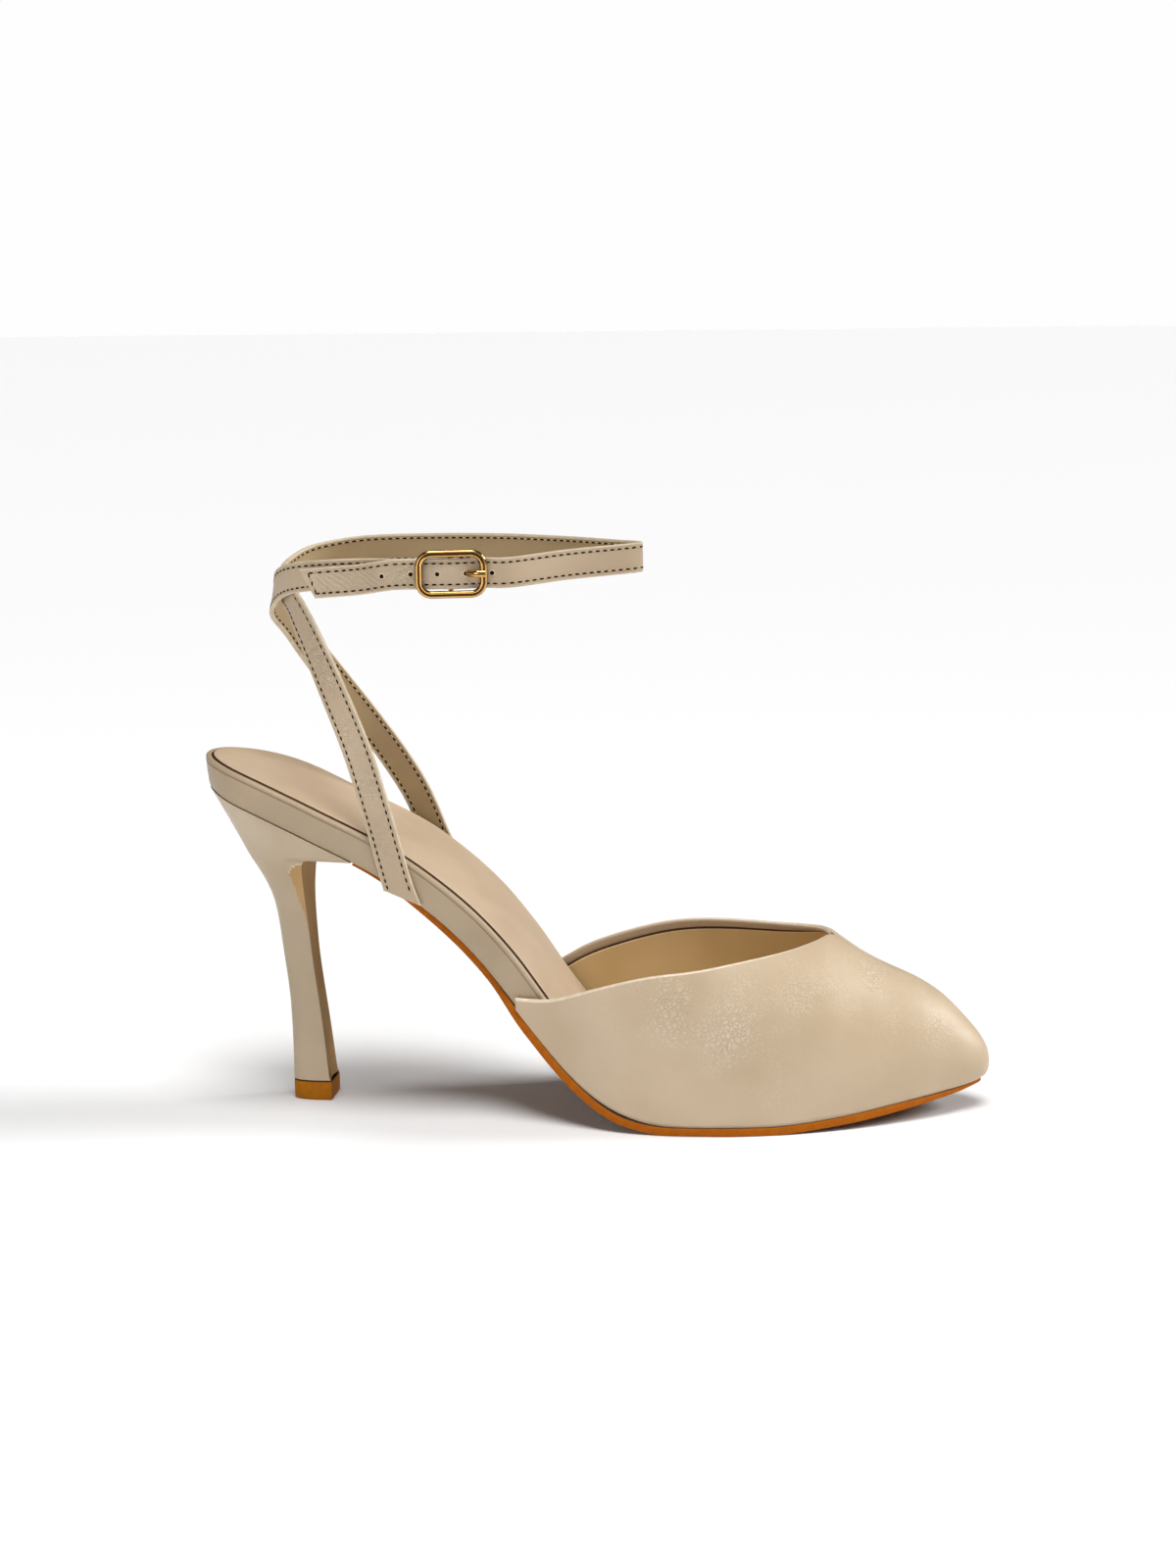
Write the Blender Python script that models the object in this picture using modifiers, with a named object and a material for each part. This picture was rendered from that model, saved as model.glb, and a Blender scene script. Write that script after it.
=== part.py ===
"""Ankle strap pump for the right foot: wrapped footbed, hollow vamp, slim covered heel and a buckled
strap made of two crossing bands. X runs from the heel to the toe, -Y is the outer (lateral) side and
Z is up. Sizes are in metres; tables hold shares of the named sizes that they follow."""

import math
from collections import namedtuple

import bmesh
import bpy
from mathutils import Vector

# Last and sole
SOLE_LENGTH = 0.232         # level length of the underside, from the back of the seat to the toe
SEAT_HEIGHT = 0.096         # underside of the footbed above the floor, at the very back
BALL_WIDTH = 0.0655         # footbed across the ball of the foot
SEAT_ROUND = 0.030          # depth of the rounded back end of the footbed
TOE_ROUND = 0.0065          # depth of the rounded toe end of the footbed
OUTSOLE_THICKNESS = 0.0022
OUTSOLE_TUCK = 0.0022       # how far the outsole stands back from the footbed's edge at the waist
OUTSOLE_EDGE = 0.0005       # softened edge of the outsole
OUTSOLE_SKIVE_END = 0.34    # share of the sole's length behind which the outsole thins
OUTSOLE_SKIVE = 0.6         # share of its thickness that it has lost at the heel
WAIST_START = 0.385         # shares of the sole's length between which the outsole comes out from
WAIST_END = 0.435           # under the footbed to carry the upper
BED_THICKNESS = 0.0088      # wrapped footbed at the seat
BED_EDGE = 0.0024           # rounded top edge of the footbed
BED_EDGE_SHARE = 0.4        # most of the footbed's thickness that this edge takes where it is thin
TOE_STAND_BACK = 0.0017     # how far the footbed's tip stands back inside the vamp's toe
TOE_STAND_START = 0.92      # share of the sole's length from which it comes to stand back
SOCK_THICKNESS = 0.0012
SOCK_MARGIN = 0.0024        # from the footbed's outer edge to the sock
FIT = 0.0003                # clearance between neighbouring pieces

# Upper
WALL = 0.0016               # leather and lining together
THROAT_HEIGHT = 0.0526      # front of the topline above the floor
UPPER_BULGE = 0.10          # how far the sides swell beyond the feather edge, as a share

# Heel
TOP_PIECE_HEIGHT = 0.0058
TOP_PIECE_EDGE = 0.0005
HEEL_HALF_WIDTH = 0.0251    # half width of the heel where it meets the seat
HEEL_BREAST = 0.2145        # front of the heel's seat, as a share of the sole's length
BREAST_HOLLOW = 0.0012

# Straps and buckle
STRAP_WIDTH = 0.0087
STRAP_THICKNESS = 0.0014
STRAP_CORNER = 0.00035
STRAP_FOLD_THICKNESS = 0.0008   # skived end that turns round the buckle's bar
ANKLE_RISE = 0.0646         # middle of the buckle above the seat
HOLE_PITCH = 0.0079
HOLE_DIAMETER = 0.0015
BUCKLE_LENGTH = 0.0203      # along the strap
BUCKLE_PLAY = 0.0005        # between the strap's edges and the frame
BUCKLE_WIRE = 0.0019
BUCKLE_CORNER = 0.0036
BAR_WIRE = 0.0015
PRONG_WIRE = 0.0011
BUCKLE_ALONG = 0.3522       # middle of the buckle, as a share of the sole's length
BUCKLE_ACROSS = -0.3511     # and as a share of the ball's width
BUCKLE_TURN = math.radians(13.3)    # turn of the buckle about the vertical
BILLET_WAVE = 0.0006        # how far the billet rises over the bar and dips under the frame

# Middle of the finished pump, as shares of the sole's length and of the ball's width
MIDDLE_ALONG = 0.0058
MIDDLE_ACROSS = 0.0084

Sole = namedtuple("Sole", "along height lateral medial thickness")
# along: share of SOLE_LENGTH; height of the underside: share of SEAT_HEIGHT; lateral and medial edge
# of the footbed: shares of BALL_WIDTH; thickness of the footbed: share of BED_THICKNESS
SOLE = [
    Sole(0.000, 0.9850, 0.384, 0.384, 1.00),
    Sole(0.030, 0.9665, 0.384, 0.384, 1.00),
    Sole(0.083, 0.9260, 0.384, 0.384, 1.00),
    Sole(0.173, 0.8250, 0.382, 0.384, 1.00),
    Sole(0.248, 0.7354, 0.394, 0.394, 1.00),
    Sole(0.291, 0.6646, 0.390, 0.388, 1.00),
    Sole(0.339, 0.5646, 0.374, 0.372, 1.00),
    Sole(0.380, 0.4510, 0.352, 0.350, 1.00),
    Sole(0.428, 0.2948, 0.344, 0.332, 0.96),
    Sole(0.470, 0.1760, 0.378, 0.345, 0.86),
    Sole(0.496, 0.1167, 0.408, 0.370, 0.78),
    Sole(0.528, 0.0583, 0.442, 0.408, 0.70),
    Sole(0.559, 0.0229, 0.468, 0.440, 0.62),
    Sole(0.599, 0.0030, 0.486, 0.476, 0.56),
    Sole(0.625, 0.0000, 0.491, 0.492, 0.55),
    Sole(0.680, 0.0000, 0.484, 0.508, 0.54),
    Sole(0.741, 0.0000, 0.448, 0.502, 0.52),
    Sole(0.827, 0.0160, 0.345, 0.438, 0.48),
    Sole(0.914, 0.0430, 0.178, 0.318, 0.42),
    Sole(0.960, 0.0560, 0.060, 0.228, 0.38),
    Sole(1.000, 0.0680, -0.040, 0.150, 0.36),
]

Ring = namedtuple("Ring", "foot ridge rise round lateral medial")
# Half hoops of the upper from the waist to the toe. foot and ridge: where a hoop stands on the
# feather edge and where it crosses the top line of the last, as shares of SOLE_LENGTH; rise: height
# of the top line as a share of THROAT_HEIGHT; round: fullness of the hoop; lateral and medial: share
# of the hoop's height at which the topline cuts it (1 from the throat to the toe)
RINGS = [
    Ring(0.4190, 0.418, 1.90, 2.30, 0.030, 0.040),
    Ring(0.4400, 0.440, 1.84, 2.30, 0.120, 0.158),
    Ring(0.4700, 0.470, 1.75, 2.30, 0.225, 0.315),
    Ring(0.5160, 0.516, 1.58, 2.30, 0.412, 0.490),
    Ring(0.5900, 0.590, 1.40, 2.30, 0.602, 0.665),
    Ring(0.6500, 0.650, 1.28, 2.30, 0.688, 0.748),
    Ring(0.7050, 0.705, 1.19, 2.30, 0.785, 0.806),
    Ring(0.7550, 0.757, 1.10, 2.30, 0.878, 0.876),
    Ring(0.7900, 0.797, 1.025, 2.30, 0.972, 0.968),
    Ring(0.8010, 0.809, 1.000, 2.30, 1.0, 1.0),
    Ring(0.8140, 0.826, 0.950, 2.25, 1.0, 1.0),
    Ring(0.8350, 0.853, 0.871, 2.15, 1.0, 1.0),
    Ring(0.8620, 0.886, 0.803, 2.05, 1.0, 1.0),
    Ring(0.8920, 0.920, 0.738, 2.00, 1.0, 1.0),
    Ring(0.9230, 0.952, 0.642, 2.00, 1.0, 1.0),
    Ring(0.9520, 0.978, 0.520, 2.00, 1.0, 1.0),
    Ring(0.9740, 0.9985, 0.412, 2.00, 1.0, 1.0),
    Ring(0.9880, 1.0095, 0.305, 2.00, 1.0, 1.0),
    Ring(0.9960, 1.0095, 0.225, 2.00, 1.0, 1.0),
    Ring(1.0000, 1.0030, 0.172, 2.00, 1.0, 1.0),
]

Stem = namedtuple("Stem", "rise back front side breast square")
# Level sections of the heel, from the top piece up. rise: share of SEAT_HEIGHT; back and front: shares
# of SOLE_LENGTH; side and breast: half widths as shares of HEEL_HALF_WIDTH; square: how square the
# back is
STEM = [
    Stem(0.000, 0.1142, 0.1628, 0.244, 0.236, 3.4),
    Stem(0.130, 0.1140, 0.1592, 0.230, 0.222, 3.2),
    Stem(0.230, 0.1132, 0.1562, 0.216, 0.206, 3.0),
    Stem(0.350, 0.1105, 0.1512, 0.206, 0.196, 2.8),
    Stem(0.460, 0.1045, 0.1456, 0.212, 0.202, 2.6),
    Stem(0.560, 0.0974, 0.1396, 0.236, 0.226, 2.4),
    Stem(0.640, 0.0893, 0.1346, 0.284, 0.270, 2.3),
    Stem(0.705, 0.0768, 0.1320, 0.370, 0.345, 2.2),
    Stem(0.752, 0.0650, 0.1325, 0.460, 0.430, 2.1),
]
SEAT_TURN = (0.14, 0.32, 0.55, 0.79, 1.0)     # how far the sections above have turned into the seat

Band = namedtuple("Band", "along across up facing lean")
# Places along a strap's middle. along: share of SOLE_LENGTH; across: share of BALL_WIDTH; up: height
# above the seat as a share of ANKLE_RISE; facing: bearing of the outer face in degrees, 0 for the
# outer side, 90 for the back, 180 for the inner side; lean: how far that face looks up, in degrees
LATERAL_LOOP = [
    Band(0.2539, -0.4031, -0.0542, 4, -3),
    Band(0.2315, -0.3817, 0.2012, 6, -5),
    Band(0.2034, -0.3450, 0.4412, 11, -8),
    Band(0.1741, -0.2962, 0.6656, 22, -10),
    Band(0.1483, -0.2260, 0.8297, 38, -8),
    Band(0.1276, -0.1221, 0.9009, 60, -2),
    Band(0.1181, 0.0000, 0.9288, 90, 0),
    Band(0.1216, 0.1221, 0.9567, 116, 0),
    Band(0.1388, 0.2473, 0.9954, 138, 0),
    Band(0.1703, 0.3237, 1.0186, 158, 0),
    Band(0.2155, 0.3573, 1.0356, 173, 0),
    Band(0.2974, 0.3389, 1.0449, 188, 0),
    Band(0.3858, 0.2779, 1.0495, 195, 0),
    Band(0.4741, 0.1756, 1.0464, 202, 0),
    Band(0.5409, 0.0641, 1.0418, 207, 0),
    Band(0.5642, 0.0290, 1.0402, 213, 0),
    Band(0.5741, 0.0000, 1.0387, 270, 0),
    Band(0.5642, -0.0336, 1.0356, 327, 0),
    Band(0.5409, -0.0748, 1.0310, 333, 0),
    Band(0.4871, -0.1679, 1.0201, 338, 0),
]
LATERAL_BILLET = [
    Band(0.2392, -0.3847, 0.9768, 359, 0),
    Band(0.2026, -0.3847, 0.9659, 364, 0),
    Band(0.1741, -0.3710, 0.9567, 369, 0),
]
MEDIAL_LOOP = [
    Band(0.2621, 0.4031, -0.1238, 178, -3),
    Band(0.2345, 0.3756, 0.0542, 174, -5),
    Band(0.2026, 0.3298, 0.2322, 168, -7),
    Band(0.1681, 0.2687, 0.4180, 156, -8),
    Band(0.1405, 0.1863, 0.5820, 138, -8),
    Band(0.1198, 0.0977, 0.7183, 114, -4),
    Band(0.1078, 0.0000, 0.8173, 90, 14),
    Band(0.1147, -0.1069, 0.8916, 64, 12),
    Band(0.1302, -0.2076, 0.9443, 42, 4),
    Band(0.1569, -0.2962, 0.9768, 18, 0),
    Band(0.1983, -0.3481, 0.9938, 5, 0),
    Band(0.2457, -0.3527, 1.0000, -2, 0),
]

Spot = namedtuple("Spot", "point facing lean thick skew")
# A place of a strap as built. skew: slant of a cut across the strap, in degrees


def smooth(rows, column, place):
    """Value of a table's column at a place in its first column, on a curve without overshoot."""
    xs = [row[0] for row in rows]
    ys = [getattr(row, column) for row in rows]
    place = min(max(place, xs[0]), xs[-1])
    slopes = [(ys[i + 1] - ys[i]) / (xs[i + 1] - xs[i]) for i in range(len(xs) - 1)]
    tangents = [slopes[0]]
    for before, after in zip(slopes, slopes[1:]):
        mean = 0.0 if before * after <= 0 else 2 * before * after / (before + after)
        tangents.append(mean)
    tangents.append(slopes[-1])
    i = max(k for k in range(len(xs) - 1) if xs[k] <= place or k == 0)
    span = xs[i + 1] - xs[i]
    t = (place - xs[i]) / span
    rise = (2 * t ** 3 - 3 * t ** 2 + 1) * ys[i] + (3 * t ** 2 - 2 * t ** 3) * ys[i + 1]
    bend = (t ** 3 - 2 * t ** 2 + t) * tangents[i] + (t ** 3 - t ** 2) * tangents[i + 1]
    return rise + bend * span


def underside(along):
    """Point of the sole's underside at a share of its length."""
    return Vector(((along - 0.5) * SOLE_LENGTH, 0, smooth(SOLE, "height", along) * SEAT_HEIGHT))


ARC_STEPS = 320
ARC_POINTS = [underside(i / ARC_STEPS) for i in range(ARC_STEPS + 1)]
ARC = [0.0]
for before, after in zip(ARC_POINTS, ARC_POINTS[1:]):
    ARC.append(ARC[-1] + (after - before).length)


def arc_at(along):
    """Distance along the bent sole to a share of its level length."""
    place = min(max(along, 0.0), 1.0) * ARC_STEPS
    i = min(int(place), ARC_STEPS - 1)
    return ARC[i] + (ARC[i + 1] - ARC[i]) * (place - i)


def along_at(arc):
    """Share of the level length at a distance along the bent sole."""
    low, high = 0, ARC_STEPS
    while high - low > 1:
        middle = (low + high) // 2
        low, high = (middle, high) if ARC[middle] <= arc else (low, middle)
    return (low + (arc - ARC[low]) / (ARC[high] - ARC[low])) / ARC_STEPS


def bend(arc, across, lift):
    """Point at a distance along the bent sole, across it and lifted square to its underside."""
    along = along_at(arc)
    here = min(max(along, 0.0), 1.0)
    step = 0.004
    front = underside(min(here + step, 1.0))
    back = underside(max(here - step, 0.0))
    tangent = (front - back).normalized()
    normal = Vector((-tangent.z, 0, tangent.x))
    point = underside(here) + tangent * (arc - arc_at(here)) + normal * lift
    return Vector((point.x, across, point.z))


def rounded(distance, depth):
    """Share of the full width at a distance from a rounded end of the given depth."""
    if distance >= depth:
        return 1.0
    return math.sqrt(max(0.0, 1 - (1 - distance / depth) ** 2))


def table_edges(along):
    """Lateral and medial edge of the footbed at a share of the sole's length, before its ends round."""
    return -smooth(SOLE, "lateral", along) * BALL_WIDTH, smooth(SOLE, "medial", along) * BALL_WIDTH


def end_share(arc, grow):
    """Share of its width that an outline grown by a length keeps near its rounded ends."""
    toe = rounded(ARC[-1] + grow - arc, TOE_ROUND + grow)
    return rounded(arc + grow, SEAT_ROUND + grow) * toe


def bed_edges(along):
    """Lateral and medial edge of the footbed at a share of the sole's length."""
    lateral, medial = table_edges(along)
    middle = (lateral + medial) / 2
    share = end_share(arc_at(along), 0.0)
    return middle + (lateral - middle) * share, middle + (medial - middle) * share


def spread(start, end, count):
    """Places from start to end, closer together near both ends."""
    return [start + (end - start) * (1 - math.cos(math.pi * i / count)) / 2 for i in range(count + 1)]


def outline(places, growth):
    """Lateral and medial side of the footbed's outline as (arc, across), grown by a length that is
    given as a function of the arc."""
    sides = ([], [])
    for place in places:
        start = arc_at(place)
        grow = growth(start)
        back = max(0.0, 1 - start / SEAT_ROUND)
        front = max(0.0, 1 - (ARC[-1] - start) / TOE_ROUND)
        arc = start + grow * (front - back)
        lateral, medial = table_edges(along_at(arc))
        middle, half = (lateral + medial) / 2, (medial - lateral) / 2
        reach = (half + grow) * end_share(arc, grow)
        sides[0].append((arc, middle - reach))
        sides[1].append((arc, middle + reach))
    return sides


def mesh_object(name, mesh, material, collection):
    """Object for a finished bmesh, smooth shaded up to 35 degree edges."""
    bmesh.ops.remove_doubles(mesh, verts=mesh.verts, dist=2e-6)
    bmesh.ops.recalc_face_normals(mesh, faces=mesh.faces)
    data = bpy.data.meshes.new(name)
    mesh.to_mesh(data)
    mesh.free()
    data.shade_smooth()
    data.set_sharp_from_angle(angle=math.radians(35))
    data.materials.append(material)
    thing = bpy.data.objects.new(name, data)
    collection.objects.link(thing)
    return thing


def skin(rings):
    """Closed bmesh through rings of (left side, right side), with its ends closed across."""
    mesh = bmesh.new()
    loops = [[mesh.verts.new(p) for p in left + right[::-1]] for left, right in rings]
    size = len(loops[0])
    for lower, upper in zip(loops, loops[1:]):
        for i in range(size):
            j = (i + 1) % size
            mesh.faces.new((lower[i], lower[j], upper[j], upper[i]))
    for loop in (loops[0], loops[-1]):
        for i in range(size // 2 - 1):
            mesh.faces.new((loop[i], loop[i + 1], loop[size - 2 - i], loop[size - 1 - i]))
    return mesh


def eased(value):
    """Share from 0 to 1 with soft ends, for a value clamped to that range."""
    share = min(max(value, 0.0), 1.0)
    return share * share * (3 - 2 * share)


def bed_lift(arc):
    """Top of the footbed's rim above the underside of the sole."""
    thickness = smooth(SOLE, "thickness", along_at(arc)) * BED_THICKNESS
    return OUTSOLE_THICKNESS + FIT + thickness


STATIONS = spread(0.0, 1.0, 46)


def bed_edge(arc):
    """Depth of the footbed's rounded top edge."""
    thickness = bed_lift(arc) - OUTSOLE_THICKNESS - FIT
    return min(BED_EDGE, thickness * BED_EDGE_SHARE)


def toe_inset(arc):
    """How far the footbed stands back from the outline near the toe."""
    return TOE_STAND_BACK * eased((along_at(arc) - TOE_STAND_START) / (1 - TOE_STAND_START))


def bed_ring(places, inset, lift):
    """Ring of a footbed layer, inset from its edge, at a lift given as a function of the arc."""
    sides = outline(places, lambda arc: -inset - toe_inset(arc))
    return [[bend(arc, across, lift(arc)) for arc, across in side] for side in sides]


def make_footbed(material, collection):
    base = OUTSOLE_THICKNESS + FIT
    groove = SOCK_MARGIN - FIT
    levels = [
        (BED_EDGE * 0.5, lambda arc: base),
        (BED_EDGE * 0.12, lambda arc: base + bed_edge(arc) * 0.38),
        (0.0, lambda arc: (base + bed_lift(arc)) / 2),
        (0.0, lambda arc: bed_lift(arc) - bed_edge(arc)),
        (BED_EDGE * 0.15, lambda arc: bed_lift(arc) - bed_edge(arc) * 0.5),
        (BED_EDGE * 0.45, lambda arc: bed_lift(arc) - bed_edge(arc) * 0.15),
        (groove - FIT, bed_lift),
        (groove, lambda arc: bed_lift(arc) - SOCK_THICKNESS),
    ]
    rings = [bed_ring(STATIONS, inset, lift) for inset, lift in levels]
    return mesh_object("footbed", skin(rings), material, collection)


def make_sock(material, collection):
    def floor(arc):
        return bed_lift(arc) - SOCK_THICKNESS + FIT

    levels = [
        (SOCK_MARGIN, floor),
        (SOCK_MARGIN, lambda arc: floor(arc) + SOCK_THICKNESS * 0.6),
        (SOCK_MARGIN + SOCK_THICKNESS / 2, lambda arc: floor(arc) + SOCK_THICKNESS),
    ]
    rings = [bed_ring(STATIONS, inset, lift) for inset, lift in levels]
    return mesh_object("insole_sock", skin(rings), material, collection)


def outsole_grow(arc):
    """How far the outsole stands out from the footbed's edge."""
    blend = eased((along_at(arc) - WAIST_START) / (WAIST_END - WAIST_START))
    return (WALL + FIT) * blend - OUTSOLE_TUCK * (1 - blend)


def outsole_lift(arc, share):
    """Lift of a level in the outsole, which is skived thin towards the heel."""
    rear = eased((OUTSOLE_SKIVE_END - along_at(arc)) / (OUTSOLE_SKIVE_END - HEEL_BREAST))
    floor = OUTSOLE_THICKNESS * OUTSOLE_SKIVE * rear
    return floor + (OUTSOLE_THICKNESS - floor) * share


def make_outsole(material, collection):
    start = HEEL_BREAST + FIT / SOLE_LENGTH
    places = [start] + [place for place in STATIONS if place > start + 0.004]
    levels = [(OUTSOLE_EDGE, 0.0), (0.0, 0.25), (0.0, 0.88), (OUTSOLE_EDGE / 2, 1.0)]
    rings = []
    for inset, share in levels:
        sides = outline(places, lambda arc: outsole_grow(arc) - inset)
        rings.append([[bend(arc, across, outsole_lift(arc, share)) for arc, across in side]
                      for side in sides])
    return mesh_object("outsole", skin(rings), material, collection)


def hoop_point(ring, side, turn):
    """Point of a half hoop of the upper's outer face; turn runs from 0 at its foot to 1 on the ridge."""
    edges = bed_edges(ring.foot)
    middle = sum(edges) / 2
    reach = WALL + FIT if ring.foot < 1 else FIT
    half = edges[side] - middle + math.copysign(reach, -1 if side == 0 else 1)
    foot = bend(arc_at(ring.foot), middle, OUTSOLE_THICKNESS + FIT)
    top = Vector(((ring.ridge - 0.5) * SOLE_LENGTH, middle, ring.rise * THROAT_HEIGHT))
    angle = turn * math.pi / 2
    wide = max(math.cos(angle), 0.0) ** (2 / ring.round)
    high = math.sin(angle) ** (2 / ring.round)
    swell = 1 + UPPER_BULGE * math.sin(2 * angle)
    point = foot.lerp(top, high)
    point.y = middle + half * wide * swell
    return point


Step = namedtuple("Step", ("place",) + Ring._fields)
RING_STEPS = [Step(i, *ring) for i, ring in enumerate(RINGS)]


def ring_between(place):
    """Hoop at a fractional place in the table of rings."""
    return Ring(*[smooth(RING_STEPS, field, place) for field in Ring._fields])


def cut_turn(ring, side):
    """Turn of a hoop at which the topline cuts it."""
    share = ring.lateral if side == 0 else ring.medial
    return math.asin(min(share, 1.0) ** (ring.round / 2)) / (math.pi / 2)


def make_upper(material, collection):
    rows = 9
    stations = [ring_between(i / 2) for i in range(2 * len(RINGS) - 1)]
    mesh = bmesh.new()
    for side in (0, 1):
        grid = []
        for ring in stations:
            top = cut_turn(ring, side)
            grid.append([mesh.verts.new(hoop_point(ring, side, top * j / rows)) for j in range(rows + 1)])
        for a, b in zip(grid, grid[1:]):
            for j in range(rows):
                mesh.faces.new((a[j], b[j], b[j + 1], a[j + 1]))
    bmesh.ops.remove_doubles(mesh, verts=mesh.verts, dist=2e-5)
    bmesh.ops.recalc_face_normals(mesh, faces=mesh.faces)
    middle = Vector((0, 0, THROAT_HEIGHT / 2))
    sample = max(mesh.faces, key=lambda f: f.calc_area())
    if sample.normal.dot(sample.calc_center_median() - middle) < 0:
        bmesh.ops.reverse_faces(mesh, faces=mesh.faces)
    data = bpy.data.meshes.new("upper")
    mesh.to_mesh(data)
    mesh.free()
    data.shade_smooth()
    data.materials.append(material)
    upper = bpy.data.objects.new("upper", data)
    collection.objects.link(upper)
    shell = upper.modifiers.new("wall", "SOLIDIFY")
    shell.thickness = WALL
    shell.offset = -1
    shell.use_even_offset = True
    return upper


HEEL_COUNT = 11             # points on each side of a section of the heel


def seat_sides():
    """Sides of the heel's seat from its front to the back, on the underside of the footbed."""
    places = [HEEL_BREAST * math.sin(math.pi / 2 * i / HEEL_COUNT) for i in range(HEEL_COUNT + 1)]
    sides = outline(places, lambda arc: 0.0)
    return [[bend(arc, across, OUTSOLE_THICKNESS) for arc, across in side][::-1] for side in sides]


def stem_side(row, sign):
    """One side of a level section of the heel, from the breast to the back."""
    rise = max(row.rise * SEAT_HEIGHT, TOP_PIECE_HEIGHT + FIT)
    front = (row.front - 0.5) * SOLE_LENGTH
    back = (row.back - 0.5) * SOLE_LENGTH
    points = []
    for i in range(HEEL_COUNT + 1):
        deep = math.sin(math.pi / 2 * i / HEEL_COUNT) ** 1.15
        wide = (1 - deep ** row.square) ** (1 / row.square)
        half = row.breast + (row.side - row.breast) * min(deep * 2.5, 1.0)
        x = front + (back - front) * deep
        points.append(Vector((x, sign * half * HEEL_HALF_WIDTH * wide, rise)))
    return points


def make_heel(material, collection):
    seat = seat_sides()
    sections = [(row, 0.0) for row in STEM] + [(STEM[-1], turn) for turn in SEAT_TURN]
    rings = []
    for row, turn in sections:
        ring = []
        for side, sign in ((0, -1), (1, 1)):
            points = [low.lerp(high, turn) for low, high in zip(stem_side(row, sign), seat[side])]
            hollow = BREAST_HOLLOW * (1 - turn) * abs(points[0].y) / HEEL_HALF_WIDTH
            middle = Vector((points[0].x - hollow, 0, points[0].z))
            ring.append([middle] + points)
        rings.append(ring)
    return mesh_object("heel", skin(rings), material, collection)


def make_top_piece(material, collection):
    rings = []
    for height, inset in ((0.0, TOP_PIECE_EDGE), (TOP_PIECE_EDGE, 0.0), (TOP_PIECE_HEIGHT, 0.0)):
        ring = []
        for sign in (-1, 1):
            points = stem_side(STEM[0], sign)
            middle = sum(points, Vector()) / len(points)
            middle.y = 0
            moved = []
            for point in points:
                away = Vector((point.x - middle.x, point.y, 0))
                spot = point - away.normalized() * inset
                moved.append(Vector((spot.x, spot.y, height)))
            ring.append(moved)
        rings.append(ring)
    return mesh_object("top_piece", skin(rings), material, collection)


def facing_normal(facing, lean):
    """Outward direction for a bearing and a lean in degrees."""
    turn, tilt = math.radians(facing), math.radians(lean)
    level = Vector((-math.sin(turn), -math.cos(turn), 0))
    return level * math.cos(tilt) + Vector((0, 0, math.sin(tilt)))


def spline(rows, steps):
    """Spots of a strap with steps between them, on a smooth curve through them."""
    spots = []
    last = len(rows) - 1
    for i in range(last):
        a, b, c, d = (rows[max(i - 1, 0)], rows[i], rows[i + 1], rows[min(i + 2, last)])
        for step in range(steps):
            t = step / steps
            values = []
            for p, q, r, s in zip(a, b, c, d):
                even = 2 * q + (r - p) * t + (2 * p - 5 * q + 4 * r - s) * t * t
                values.append((even + (3 * q - p - 3 * r + s) * t ** 3) / 2)
            spots.append(Spot(*values))
    spots.append(rows[-1])
    return spots


def strap_section(thick):
    """Outline of a strap across its width, as (across, out) from its middle."""
    w, t, c = STRAP_WIDTH / 2, thick / 2, STRAP_CORNER
    return [(-w, -t + c), (-w, t - c), (-w + c, t), (w - c, t),
            (w, t - c), (w, -t + c), (w - c, -t), (c - w, -t)]


def make_strap(name, rows, material, collection):
    spots = spline(rows, 3)
    mesh = bmesh.new()
    loops = []
    for i, spot in enumerate(spots):
        before, after = spots[max(i - 1, 0)].point, spots[min(i + 1, len(spots) - 1)].point
        tangent = (after - before).normalized()
        normal = facing_normal(spot.facing, spot.lean)
        normal = (normal - tangent * normal.dot(tangent)).normalized()
        side = tangent.cross(normal) + tangent * math.tan(math.radians(spot.skew))
        section = strap_section(spot.thick)
        loops.append([mesh.verts.new(spot.point + side * across + normal * out) for across, out in section])
    count = len(section)
    for a, b in zip(loops, loops[1:]):
        for j in range(count):
            k = (j + 1) % count
            mesh.faces.new((a[j], a[k], b[k], b[j]))
    mesh.faces.new(loops[0])
    mesh.faces.new(loops[-1][::-1])
    return mesh_object(name, mesh, material, collection)


def level_place(along, across, up):
    """Point at shares of the sole's length, of the ball's width and of the ankle's rise."""
    return Vector(((along - 0.5) * SOLE_LENGTH, across * BALL_WIDTH, SEAT_HEIGHT + up * ANKLE_RISE))


def at_buckle(along, out, up):
    """Place given along, out from and up the buckle."""
    forward = Vector((math.cos(BUCKLE_TURN), math.sin(BUCKLE_TURN), 0))
    outward = Vector((math.sin(BUCKLE_TURN), -math.cos(BUCKLE_TURN), 0))
    middle = level_place(BUCKLE_ALONG, BUCKLE_ACROSS, 1.0)
    return middle + forward * along + outward * out + Vector((0, 0, up))


BUCKLE_FACING = -math.degrees(BUCKLE_TURN)
BUCKLE_HEIGHT = STRAP_WIDTH + 2 * (BUCKLE_WIRE + BUCKLE_PLAY)
FRAME_OUT = STRAP_THICKNESS / 2 - BILLET_WAVE + FIT + BUCKLE_WIRE / 2
FOLD_RADIUS = BAR_WIRE / 2 + FIT + STRAP_FOLD_THICKNESS / 2
BAR_OUT = BILLET_WAVE - STRAP_THICKNESS / 2 - FIT - STRAP_FOLD_THICKNESS / 2 - FOLD_RADIUS
SIDE_BAR = (BUCKLE_LENGTH - BUCKLE_WIRE) / 2
PRONG_HOLE = SIDE_BAR * 0.43


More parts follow.
